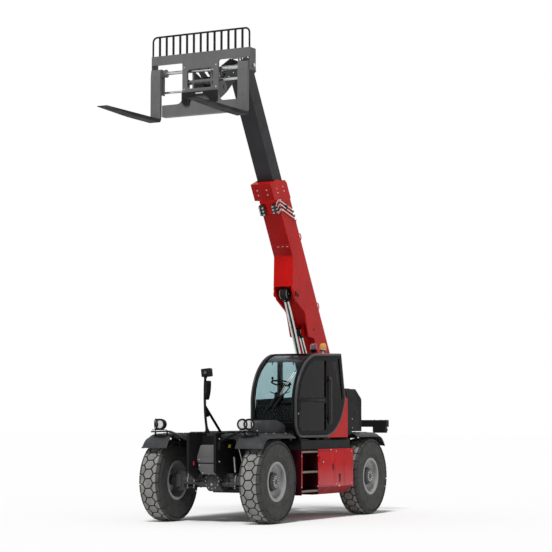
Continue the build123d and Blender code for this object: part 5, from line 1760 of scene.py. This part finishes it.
    def struts(self) -> None:
        """Bright struts, yellow markers and red cap beside the frame plates."""
        maker = Maker()
        for _ in maker.sides():
            for start, end, radius, bevel, slot in (
                    ((0.43, -2.1, 1.58), (0.6, -2.02, 0.85), 0.013, 0.002, 0),
                    ((0.404, -2.1, 1.18), (0.432, -2.1, 0.905), 0.02, 0.003, 0),
                    ((0.428, -2.1, 1.6), (0.436, -2.1, 1.545), 0.022, 0.003, 3),
                    ((0.286, -2.15, 1.372), (0.33, -2.15, 1.372), 0.012, 0.002, 3)):
                maker.rod(start, end, radius, bevel=bevel, slot=slot)
            maker.rod((0.34, -2.15, 1.345), (0.34, -2.15, 1.4), 0.026, 0.022, 20, 0.006, 1)
        maker.rod((-0.262, -2.4, 1.03), (-0.262, -2.4, 1.1), 0.022, 0.02, 20, 0.005, 2)
        maker.rod((-0.262, -2.4, 1.0), (-0.262, -2.4, 1.035), 0.014, bevel=0.002, slot=3)
        maker.rod((-0.262, -2.4, 1.012), (-0.256, -2.4, 1.012), 0.01, slot=3)
        maker.finish("front_fittings", "chassis", (ZINC, YELLOW, MARK_RED, BLACK), "chrome")

    def axles(self) -> None:
        """U-bolts, clamp plates, steering rams, differential covers and lines of both axles."""
        maker = Maker()
        y = AXLES["rear"] - SHIFT_Y
        for way in (-1, 1):
            maker.place = MACHINE @ Matrix.Diagonal((1, way, 1, 1))
            for _ in maker.sides():
                for x in (0.423, 0.56):
                    bow = ((-0.125, 0.612), (-0.125, 0.79), (-0.07, 0.868), (0.07, 0.868), (0.125, 0.79),
                           (0.125, 0.612))
                    maker.pipe([(x, y + s, z) for s, z in bow], 0.011, 3, slot=2)
                    maker.bolts([(x, y - 0.125, 0.624), (x, y + 0.125, 0.624)], (0, 0, -1), 0.016, 2)
                maker.box((0.385, y - 0.155, 0.624), (0.6, y + 0.155, 0.642), 0.004, 1)
                for x, radius in ((0.64, 0.03), (0.3, 0.04)):
                    maker.rod((0.16, y + 0.118, 0.7), (x, y + 0.118, 0.7), radius, bevel=0.004)
            face = Vector((0, y + 0.19, 0.745))
            maker.lathe([(-0.004, 0.0), (-0.004, 0.158), (0.014, 0.158), (0.017, 0.15), (0.02, 0.118),
                         (0.03, 0.09), (0.034, 0.05), (0.034, 0.0)], face, (0, 1, 0))
            maker.bolts([face + arm + Vector((0, 0.014, 0)) for arm in spokes("Y", (0.138, 0, 0), 12)],
                        (0, 1, 0), 0.01, 2)
            maker.bolt(face + Vector((0.0, 0.034, -0.06)), (0, 1, 0), 0.014, 2)
            for _ in maker.sides():
                maker.pipe([(0.162, y + 0.1, 0.95), (0.27, y + 0.17, 0.91), (0.342, y + 0.16, 0.78),
                            (0.288, y + 0.135, 0.722)], 0.011, 3, slot=3)
        maker.finish("axle_fittings", "chassis", (CAST, CHASSIS, ZINC, BLACK), "cast")

    def plates(self) -> None:
        """Edge flanges, pin caps and ribs on the frame's side plates."""
        maker = Maker()
        edge = [(-2.572, 0.92), (-2.572, 1.585), (-2.545, 1.612), (-2.1, 1.612), (-2.1, 1.6),
                (-2.54, 1.6), (-2.56, 1.58), (-2.56, 0.92)]
        for _ in maker.sides():
            maker.plate(edge, Axis.X, 0.25, 0.3, 0.002)
            for y, z in ((-2.44, 1.5), (-2.44, 1.1), (-2.22, 1.5)):
                maker.rod((0.284, y, z), (0.296, y, z), 0.034, bevel=0.003)
                maker.bolt((0.296, y, z), (1, 0, 0), 0.014, 1)
            maker.box((0.284, -1.3, 0.6), (0.315, 1.25, 0.63))
            cap, rise = Vector((0.285, *BOOM_PIN)), Vector((0.014, 0, 0))
            maker.rod(cap, cap + rise, 0.092, bevel=0.003, slot=1, sides=40)
            maker.bolts([cap + rise + arm for arm in spokes("X", (0, 0, 0.072), 6)], (1, 0, 0), 0.011, 1)
            for y, z in ((2.15, 1.22), (2.45, 1.5)):
                maker.rod((0.285, y, z), (0.297, y, z), 0.06, bevel=0.003, slot=1, sides=30)
                maker.bolt((0.297, y, z), (1, 0, 0), 0.014, 1)
        maker.finish("frame_flanges", "chassis", (CHASSIS, ZINC), "black_paint")

    def build(self) -> None:
        """Builds every piece of the front end."""
        FenderPair("front", 1.262).build()
        FenderPair("rear", 1.347).build()
        for part in (self.lamps, self.brackets, self.nose, self.cowl, self.mast, self.struts, self.axles,
                     self.plates):
            part()


# Boom and cylinders


# The boom's main pin as (y, z) from the middle of the wheelbase, and its lean in degrees
BOOM_PIN = (2.536, 2.15)
BOOM_LEAN = 59.5


def boom_place() -> Matrix:
    """The frame of the boom: across it, along it from its main pin, and towards its back."""
    lean = radians(BOOM_LEAN)
    y, z = BOOM_PIN
    return Matrix(((1, 0, 0, 0), (0, -cos(lean), sin(lean), y + SHIFT_Y), (0, sin(lean), cos(lean), z),
                   (0, 0, 0, 1)))


def boom_flat(u: float, v: float) -> Vector:
    """A boom place as (y, z) from the middle of the wheelbase."""
    spot = boom_place() @ Vector((0, u, v))
    return Vector((spot.y - SHIFT_Y, spot.z))


@dataclass
class BoomDress:
    """Bolts, oil pipes, manifolds, loops and seams of the outer and inner boom."""

    half: float = 0.205
    back: float = 0.236

    def outer(self) -> None:
        """Fastenings and seams of the outer boom."""
        maker = Maker(boom_place())
        maker.bolts([(x, u, -0.3835) for u in (4.83, 4.93) for x in (-0.1, 0.1)], (0, 0, -1), 0.01)
        for _ in maker.sides():
            maker.bolts([(0.215, u, v) for u, v in ((4.87, -0.19), (4.78, -0.19), (4.8, 0.05), (4.71, 0.05))],
                        (1, 0, 0), 0.01)
            for x, u, v, radius, bevel, facets in ((0.232, 2.79, -0.53, 0.05, 0.002, 30),
                                                   (0.21, 2.7, -0.43, 0.036, 0.003, 24),
                                                   (0.205, 1.801, -0.16, 0.022, 0.003, 20)):
                maker.rod((x, u, v), (x + 0.006, u, v), radius, bevel=bevel, slot=1, sides=facets)
            loop = ((-0.07, 0.234), (-0.06, 0.28), (0.0, 0.298), (0.06, 0.28), (0.07, 0.234))
            for u in (3.64, 2.11):
                maker.pipe([(0.196, u + s, v) for s, v in loop], 0.01, 3, slot=2)
            for u in (-0.1, 0.3):
                maker.box((0.201, u - 0.03, -0.12), (0.209, u + 0.03, 0.12), 0.003, 2)
        # Thin sheets of the darker belly red on the boom's underside: painted shade.
        maker.box((-0.214, 4.722, -0.3835), (0.214, 5.058, -0.3805), 0.001, 3)
        maker.box((-0.2, 3.47, -0.2385), (0.2, 4.37, -0.2362), 0.001, 3)
        maker.pipe([(-0.204, 3.7, -0.235), (0.204, 3.7, -0.235)], 0.006, 3, slot=2, straight=True)
        maker.pipe([(-0.204, 3.7, -0.235), (-0.206, 3.7, 0.1)], 0.003, 3, slot=2, straight=True)
        maker.slats((-0.08, 3.66, -0.2395), (-0.03, 3.668, -0.2345), (0.1, 0, 0), 3, 0.001, 0)
        for u, v in ((4.97, -0.372), (4.8, 0.05)):
            maker.rod((-0.214, u, v), (-0.22, u, v), 0.012)
        maker.finish("boom_fastenings", "boom", (ZINC, BLACK, RED, BELLY_SHADE_RED), "chrome")

    def pipes(self) -> None:
        """Bright oil pipes from the belly manifold over the side and down the back, with clamps."""
        maker = Maker(boom_place())
        x, v = self.half + 0.018, self.back + 0.016
        for top, turn, inner in ((4.665, 4.2, 0.085), (4.575, 4.11, 0.105), (4.475, 4.015, 0.125)):
            bend = [(0.15, top - 0.11, -0.2495), (0.18, top - 0.06, -0.2495), (x, top, -0.245),
                    (x, top - 0.03, -0.215), (x, (top + turn) / 2, -0.01), (x, turn + 0.03, 0.2),
                    (x - 0.004, turn, v - 0.01), (x - 0.03, turn - 0.03, v), (inner + 0.06, turn - 0.1, v),
                    (inner, turn - 0.22, v)]
            back = [(inner, u, v) for u in (3.4, 2.6, 1.2, 0.8)]
            maker.pipe([*bend, *back, (inner, 0.6, v - 0.012)], 0.0115, 3)
            maker.rod((x - 0.001, top - 0.03, -0.228), (x - 0.001, top - 0.052, -0.206), 0.019, sides=6)
            maker.rod((x, turn + 0.055, 0.168), (x, turn + 0.034, 0.188), 0.019, sides=6)
        for u in (3.3, 2.7, 2.1, 1.5, 0.9):
            maker.box((0.062, u - 0.02, 0.236), (0.15, u + 0.02, 0.268), 0.005, 1)
            maker.bolt((0.105, u, 0.268), (0, 0, 1), 0.009)
        maker.box((0.208, 4.36, -0.06), (0.238, 4.44, 0.01), 0.005, 1)
        maker.finish("boom_pipes", "boom", (CHROME, BLACK), "chrome")

    def manifolds(self) -> None:
        """Valve blocks with their unions on the boom's belly."""
        maker = Maker(boom_place())
        v = -self.back
        maker.box((-0.222, 4.355, v - 0.06), (-0.11, 4.57, v - 0.001), 0.008, 1)
        for u in (4.392, 4.462, 4.532):
            for x in (-0.205, -0.13):
                maker.rod((x, u, v - 0.058), (x, u, v - 0.08), 0.02, sides=6, bevel=0.002)
                maker.rod((x, u, v - 0.078), (x, u, v - 0.092), 0.015, bevel=0.002)
            maker.rod((-0.22, u, v - 0.03), (-0.231, u, v - 0.03), 0.02, sides=6, bevel=0.002)
        maker.box((0.045, 4.385, v - 0.05), (0.13, 4.575, v - 0.001), 0.008, 1)
        for u in (4.415, 4.48, 4.545):
            maker.rod((0.128, u, v - 0.024), (0.168, u, v - 0.024), 0.019, sides=6, bevel=0.002)
            maker.rod((0.085, u, v - 0.049), (0.085, u, v - 0.072), 0.019, sides=6, bevel=0.002)
            maker.rod((0.085, u, v - 0.07), (0.085, u, v - 0.084), 0.013, bevel=0.002)
        maker.finish("boom_manifolds", "boom", (ZINC, CAST), "chrome")

    def inner(self) -> None:
        """Seam beads and head bolts of the inner boom."""
        maker = Maker(boom_place())
        for _ in maker.sides():
            for u in (5.55, 6.05, 6.6):
                maker.box((0.167, u - 0.004, -0.15), (0.173, u + 0.004, 0.15), 0.001)
            maker.rod((0.17, 7.3, -1.1), (0.174, 7.3, -1.1), 0.078, bevel=0.001, sides=36, slot=1)
            maker.bolts([(0.17, 7.4, v) for v in (-0.6, -0.8, -0.98)], (1, 0, 0), 0.01, 1)
        maker.finish("inner_boom_fastenings", "telescope", (BOOM_GREY, ZINC), "grey_paint")

    def hoses(self) -> None:
        """Hoses that arch out of the boom's head, and their clamps."""
        maker = Maker(boom_place())
        for x, rise, lean in ((-0.115, 0.02, -0.06), (-0.06, 0.0, -0.02), (0.0, 0.025, 0.02),
                              (0.06, 0.01, 0.03), (0.115, 0.022, 0.0)):
            maker.pipe([(x, 7.35, 0.225), (x, 7.46, 0.24), (x + lean * 0.6, 7.56 + rise, 0.205),
                        (x + lean, 7.595 + rise, 0.14), (x + lean * 0.6, 7.57 + rise, 0.075),
                        (x, 7.48, 0.05)], 0.0145, 3)
            maker.rod((x, 7.335, 0.222), (x, 7.37, 0.227), 0.019, sides=6, bevel=0.002, slot=1)
            maker.rod((x, 7.465, 0.047), (x, 7.495, 0.054), 0.019, sides=6, bevel=0.002, slot=1)
        maker.box((-0.146, 7.325, 0.195), (0.146, 7.345, 0.25), 0.006, 1)
        maker.box((-0.146, 7.45, 0.03), (0.146, 7.47, 0.07), 0.006, 1)
        maker.finish("head_hoses", "telescope", (BLACK, ZINC), "dark_plastic")

    def build(self) -> None:
        """Builds every piece of the boom."""
        for part in (self.outer, self.pipes, self.manifolds, self.inner, self.hoses):
            part()


@dataclass
class Cylinder:
    """Black eye cover on the rod, and gland, ports and oil pipes on the barrel."""

    name: str
    base: Vector
    eye: Vector
    barrel: float
    barrel_radius: float
    rod_radius: float
    eye_radius: float
    eye_half: float
    pipe_side: float = -1.0

    def place(self) -> Matrix:
        """The cylinder's frame: across, along from its base pin, and sideways."""
        run = (self.eye - self.base).normalized()
        return Matrix(((1, 0, 0, 0), (0, run.x, -run.y, self.base.x + SHIFT_Y),
                       (0, run.y, run.x, self.base.y), (0, 0, 0, 1)))

    def build(self) -> None:
        """Dresses the rod and the barrel."""
        self.dress_rod((self.eye - self.base).length)
        self.dress_barrel()

    def dress_rod(self, length: float) -> None:
        """Puts the cover and the neck ring on the rod's eye, which lies at a length from the base pin."""
        maker = Maker(self.place())
        r, h, bore, neck = self.eye_radius, self.eye_half, 0.0392, self.rod_radius
        maker.lathe([(-h - 0.001, bore), (-h - 0.001, r - 0.006), (-h + 0.006, r + 0.002),
                     (h - 0.006, r + 0.002), (h + 0.001, r - 0.006), (h + 0.001, bore), (-h - 0.001, bore)],
                    (0, length, 0), (1, 0, 0))
        maker.lathe([(-r * 0.6, neck + 0.001), (-r * 0.6, neck + 0.03), (-r - 0.028, neck + 0.026),
                     (-r - 0.04, neck + 0.018), (-r - 0.04, neck + 0.001), (-r * 0.6, neck + 0.001)],
                    (0, length, 0), (0, 1, 0), 40)
        maker.bolt((0, length - r - 0.005, neck + 0.022), (0, 0, 1), 0.01, 1)
        maker.finish(f"{self.name}_eye_cover", f"{self.name}_rod", (BLACK, ZINC), "dark_plastic")

    def dress_barrel(self) -> None:
        """Puts the gland ring, its bolts, the oil pipes and their clamp on the barrel."""
        maker = Maker(self.place())
        end, wide, out = self.barrel, self.barrel_radius + 0.01, self.pipe_side
        maker.lathe([(end - 0.07, wide), (end - 0.066, wide + 0.006), (end - 0.03, wide + 0.006),
                     (end - 0.026, wide), (end - 0.07, wide)], (0, 0, 0), (0, 1, 0))
        for arm in spokes("Y", (0, 0, (wide + self.rod_radius) / 2), 8):
            maker.bolt(arm + Vector((0, end - 0.001, 0)), (0, 1, 0), 0.009, 1)
        z = out * (self.barrel_radius + 0.012)
        line = ((0.2, -0.012), (0.24, 0.008), (0.34, 0.008), (end * 0.55, 0.008), (end - 0.2, 0.008),
                (end - 0.14, 0.0))
        for x in (-self.barrel_radius * 0.45, self.barrel_radius * 0.45):
            maker.pipe([(x, y, z + out * rise) for y, rise in line], 0.01, 3, slot=1)
            maker.rod((x, end - 0.15, z - out * 0.02), (x, end - 0.15, z + out * 0.012), 0.016, sides=6,
                      slot=1)
        low, high = sorted(out * (self.barrel_radius + off) for off in (0.03, -0.012))
        maker.box((-0.05, end * 0.5 - 0.02, low), (0.05, end * 0.5 + 0.02, high))
        maker.finish(f"{self.name}_barrel_fittings", f"{self.name}_barrel", (BLACK, ZINC), "dark_plastic")


class Cylinders:
    """The lift, compensation and tilt cylinders."""

    def build(self) -> None:
        """Dresses all three."""
        head = boom_flat(7.3, -1.1)
        lever = radians(40)
        tilt_eye = head + Vector((-0.2 * cos(lever), 0.2 * sin(lever)))
        Cylinder("lift", Vector((2.15, 1.22)), boom_flat(2.79, -0.53), 2.08, 0.11, 0.056, 0.105,
                 0.075).build()
        Cylinder("compensation", Vector((2.45, 1.5)), boom_flat(1.855, -0.354), 1.48, 0.062, 0.042, 0.07,
                 0.045, 1.0).build()
        Cylinder("tilt", boom_flat(7.29, -0.095), tilt_eye, 0.72, 0.06, 0.038, 0.062, 0.076).build()


# Carriage


@dataclass
class Carriage:
    """Lip, guard bars, fork sleeves and bolts of the fork carriage."""

    face: float = -2.657
    half: float = 1.025
    guard_foot: float = 8.458
    guard_top: float = 8.83
    guard_bars: int = 13
    guard_bend: float = 0.085
    sleeve: Point = (0.82, -2.548, 8.146)

    def guard(self) -> None:
        """Load guard of flat bars in a bent tube."""
        maker = Maker()
        w, top, foot, y = self.half - 0.022, self.guard_top - 0.018, self.guard_foot - 0.02, self.face + 0.022
        bend = self.guard_bend
        left = arc((-w, top - bend), (-w + bend * 0.3, top - bend * 0.3), (-w + bend, top), 6)
        right = [(-x, z) for x, z in reversed(left)]
        maker.pipe([(x, y, z) for x, z in ((-w, foot), *left, *right, (w, foot))], 0.0175, 2)
        gap = 2 * w / (self.guard_bars + 1)
        maker.slats((gap - w - 0.022, y - 0.006, foot), (gap - w + 0.022, y + 0.006, top), (gap, 0, 0),
                    self.guard_bars, 0.002, 0)
        maker.finish("guard_bars", "carriage", (DARK_FORK,), "black_paint", "load_guard")

    def lip(self) -> None:
        """Dark sloped lip with its ears and arch, and a bare plate."""
        maker = Maker()
        face = self.face
        arch = smooth_line([(-0.215, 7.5), (-0.2, 7.59), (-0.12, 7.65), (0.0, 7.665), (0.12, 7.65),
                            (0.2, 7.59), (0.215, 7.5)], 3)
        outline = [(-0.372, 7.742), (-0.372, 7.56), (-0.3, 7.5), *arch, (0.3, 7.5), (0.372, 7.56),
                   (0.372, 7.742)]
        maker.plate(outline, Axis.Y, face - 0.03, face, 0.005)
        for x in (-0.29, 0.29):
            maker.rod((x, face - 0.03, 7.6), (x, face - 0.036, 7.6), 0.026, bevel=0.002, slot=1)
        maker.box((-0.075, face - 0.033, 7.695), (0.075, face - 0.029, 7.72), 0.002, 2)
        maker.bolts([(x, face, z) for x in (-0.33, 0.33) for z in (7.8, 8.2)], (0, -1, 0), 0.011, 2)
        maker.finish("carriage_lip", "carriage", (DARK_FORK, BLACK, ZINC), "black_paint")

    def sleeves(self) -> None:
        """Sleeves of both forks on their shaft, with collars and grease points."""
        bore, wall = 0.046, 0.066
        for name, side in SIDES.items():
            maker = Maker(MACHINE @ Matrix.Diagonal((side, 1, 1, 1)))
            maker.lathe([(-0.06, bore), (-0.06, wall + 0.008), (-0.035, wall + 0.008), (-0.033, wall),
                         (0.165, wall), (0.167, wall + 0.004), (0.173, wall + 0.004), (0.175, bore),
                         (-0.06, bore)], self.sleeve, (1, 0, 0), 40)
            maker.lathe([(-0.074, bore), (-0.074, wall - 0.006), (-0.06, wall - 0.006), (-0.06, bore),
                         (-0.074, bore)], self.sleeve, (1, 0, 0), 6, 1)
            maker.bolts([(0.905, -2.7205, 8.06), (0.905, -2.7205, 7.6)], (0, -1, 0), 0.009)
            maker.finish(f"fork_sleeve_{name}", f"{name}_fork", (FORK_GREY, ZINC), "cast")

    def build(self) -> None:
        """Builds every piece of the carriage."""
        for part in (self.guard, self.lip, self.sleeves):
            part()


# Sides and rear


@dataclass
class Sides:
    """Trim of the steps, side box, cover, rear housing, hood, engine bay and rear beam."""

    out: float = 1.24
    hood_face: float = -1.2355

    def steps(self) -> None:
        """Tread edges, tread mats and the bright panel in the step recess."""
        maker = Maker()
        for z in (0.55, 0.9, 1.267):
            maker.box((1.18, -1.07, z - 0.029), (1.2385, -0.416, z + 0.005))
            maker.box((1.0, -1.07, z - 0.001), (1.18, -0.416, z + 0.006), 0.002, 1)
        maker.box((1.06, -1.066, 0.56), (1.16, -1.05, 0.868), 0.004, 2)
        maker.box((1.225, -1.084, 0.6), (1.2405, -1.046, 1.24), 0.003, 2)
        maker.bolts([(1.2385, y, z) for y in (-1.078, -0.42) for z in (0.62, 1.18)], (1, 0, 0), 0.007, 3)
        maker.finish("step_edges", "chassis", (TREAD_EDGE, GRILLE, BOX_RED, ZINC), "dark_plastic")

    def box_trim(self) -> None:
        """Reflector, recess, tag and beads of the side box, and the latch of its door."""
        maker = Maker()
        x = self.out
        # Raised black plate where the box has a tapered recess: painted shade of the recess.
        maker.plate([(0.47, 0.83), (0.56, 0.83), (0.535, 0.668), (0.495, 0.668)], Axis.X, x - 0.01,
                    x + 0.003)
        maker.box((x - 0.002, 0.445, 0.592), (x + 0.006, 0.51, 0.622), 0.003, 1)
        # Thin sheet of the darker red over the box's sloped underside: painted shade.
        keel = [(1.101, 0.4575), (1.2405, 0.582), (1.2405, 0.6), (1.238, 0.6), (1.238, 0.5835),
                (1.099, 0.4595)]
        maker.plate(keel, Axis.Y, -0.398, 1.033, 0.0, 3)
        maker.box((x - 0.002, 0.105, 1.274), (x + 0.003, 0.165, 1.29), 0.001, 2)
        for y in (0.3, 0.7):
            maker.box((x - 0.004, y, 0.62), (x + 0.002, y + 0.006, 1.27), 0.001, 3)
        maker.bolts([(x, y, z) for y in (0.36, 1.03) for z in (0.64, 1.25)], (1, 0, 0), 0.0085, 2)
        maker.finish("side_box_trim", "chassis", (BLACK, AMBER_LENS, ZINC, KEEL_SHADE_RED), "dark_plastic")
        maker = Maker()
        maker.rod((x - 0.001, -0.202, 1.06), (x + 0.004, -0.202, 1.06), 0.03, bevel=0.002)
        maker.rod((x + 0.003, -0.202, 1.06), (x + 0.0075, -0.202, 1.06), 0.016, bevel=0.002, slot=1)
        maker.box((x - 0.001, 0.205, 0.9), (x + 0.007, 0.245, 1.02), 0.003)
        maker.finish("side_box_latch", "box_door", (BLACK, ZINC), "dark_plastic")

    def cover_marks(self) -> None:
        """Amber marker and edge bead of the curved cover behind the cab."""
        maker = Maker()
        maker.box((1.15, 0.795, 2.259), (1.19, 0.88, 2.285), 0.006, 0)
        edge = [(1.193, y, z) for y, z in arc((0.838, 2.24), (0.567, 1.765), (-0.01, 1.522), 12)]
        maker.pipe(edge, 0.006, 3, slot=1)
        maker.finish("curved_cover_trim", "chassis", (AMBER_LENS, RED), "amber")

    def housing(self) -> None:
        """Latches, panel lines, top louvres and rear grille of the housing."""
        maker = Maker()
        x = 1.1
        for y, z in ((1.641, 2.159), (1.508, 1.975)):
            maker.rod((x - 0.001, y, z), (x + 0.006, y, z), 0.03, bevel=0.002, slot=1)
            maker.rod((x + 0.005, y, z), (x + 0.012, y, z), 0.014, bevel=0.002)
        panel = ((1.1, 1.64), (1.1, 2.38), (1.47, 2.38), (1.72, 2.21), (1.72, 1.66), (1.38, 1.64))
        maker.pipe([(x + 0.001, y, z) for y, z in panel], 0.005, 3, closed=True, slot=1, straight=True)
        maker.slats((0.42, 1.14, 2.438), (0.98, 1.162, 2.452), (0, 0.042, 0), 9)
        maker.box((0.4, 1.776, 1.7), (1.0, 1.786, 2.2))
        maker.slats((0.41, 1.782, 1.72), (0.99, 1.794, 1.738), (0, 0, 0.044), 11)
        maker.bolts([(x, 1.36, 1.69), (x, 1.36, 1.86)], (1, 0, 0), 0.009, 2)
        maker.finish("housing_trim", "chassis", (GRILLE, BLACK, ZINC), "dark_plastic")

    def hood(self) -> None:
        """Louvred grilles and handles of the engine hood, and the grille, frame and lock below it."""
        maker = Maker()
        x = self.hood_face
        for y in (-0.8, -0.1, 0.55):
            maker.box((x - 0.004, y, 1.37), (x + 0.001, y + 0.48, 1.53), 0.003)
            maker.slats((x - 0.009, y + 0.012, 1.385), (x - 0.001, y + 0.468, 1.399), (0, 0, 0.029), 5)
        for y in (-0.45, 0.4):
            maker.box((-1.05, y - 0.2, 1.618), (-0.55, y + 0.2, 1.625), 0.003)
            maker.slats((-1.03, y - 0.185, 1.622), (-1.004, y + 0.185, 1.632), (0.06, 0, 0), 8)
        grip = ((0.0, -0.06), (-0.003, -0.055), (-0.004, 0.0), (-0.003, 0.055), (0.0, 0.06))
        for y in (-0.2, 0.47):
            maker.pipe([(x + off, y + s, 1.352) for off, s in grip], 0.005, 3, slot=2)
        maker.finish("hood_grilles", "engine_hood", (GRILLE, BLACK, ZINC), "dark_plastic")
        maker = Maker()
        maker.box((x - 0.004, -0.7, 0.7), (x + 0.001, 0.3, 1.24), 0.003)
        maker.slats((x - 0.009, -0.685, 0.715), (x - 0.001, 0.285, 0.733), (0, 0, 0.04), 13)
        frame = [(x, 0.36, 0.66), (x, 1.02, 0.66), (x, 1.02, 1.28), (x, 0.36, 1.28)]
        maker.pipe(frame, 0.006, 3, closed=True, slot=1, straight=True)
        maker.rod((x, 0.69, 1.1), (x - 0.007, 0.69, 1.1), 0.045, bevel=0.003, slot=1)
        maker.rod((x - 0.006, 0.69, 1.1), (x - 0.01, 0.69, 1.1), 0.02, bevel=0.002, slot=2)
        maker.bolts([(x + 0.002, y, z) for y in (-0.95, 1.06) for z in (0.64, 0.95, 1.28)], (-1, 0, 0),
                    0.009, 2)
        maker.finish("engine_bay_grilles", "chassis", (GRILLE, BLACK, ZINC), "dark_plastic")

    def rear(self) -> None:
        """Lamps, louvres, tow pin and bare plate holder at the rear."""
        maker = Maker()
        for _ in maker.sides():
            for x, slot in ((0.8, 1), (0.9, 0), (0.975, 2)):
                face = Vector((x, 3.19, 1.64))
                maker.lathe([(-0.002, 0.0), (-0.002, 0.044), (0.008, 0.044), (0.012, 0.038), (0.02, 0.03),
                             (0.023, 0.0)], face, (0, 1, 0), 30, slot)
                maker.lathe([(-0.001, 0.047), (0.01, 0.047), (0.01, 0.042), (-0.001, 0.042),
                             (-0.001, 0.047)], face, (0, 1, 0), 30, 3)
            maker.bolts([(x, 3.165, 1.8405) for x in (0.74, 0.88, 1.0)], (0, 0, 1), 0.01, 4)
            maker.bolts([(0.2, 2.96, 0.9), (0.2, 2.96, 1.1)], (0, 1, 0), 0.016, 4)
        maker.slats((-0.2, 2.958, 1.14), (0.2, 2.97, 1.16), (0, 0, 0.045), 7, slot=3)
        y = 3.025
        maker.rod((0, y, 0.86), (0, y, 1.085), 0.019, bevel=0.003, slot=4)
        maker.pipe([(-0.03, y, 1.08), (-0.03, y, 1.11), (0.03, y, 1.11), (0.03, y, 1.08)], 0.006, 3, slot=4)
        maker.box((-0.26, 3.228, 1.72), (0.26, 3.23, 1.82), 0.001, 3)
        maker.finish("rear_lamps", "chassis", (RED_LENS, AMBER_LENS, CLEAR_LENS, BLACK, ZINC), "amber")

    def build(self) -> None:
        """Builds every piece of the sides and the rear."""
        for part in (self.steps, self.box_trim, self.cover_marks, self.housing, self.hood, self.rear):
            part()


def main() -> None:
    """Builds everything in order."""
    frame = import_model()
    Studio().build()
    PackedParts(frame["nodes"]).build()
    Wheels().build()
    Cab().build()
    Seat().build()
    FrontEnd().build()
    BoomDress().build()
    Cylinders().build()
    Carriage().build()
    Sides().build()


if __name__ == "__main__":
    main()
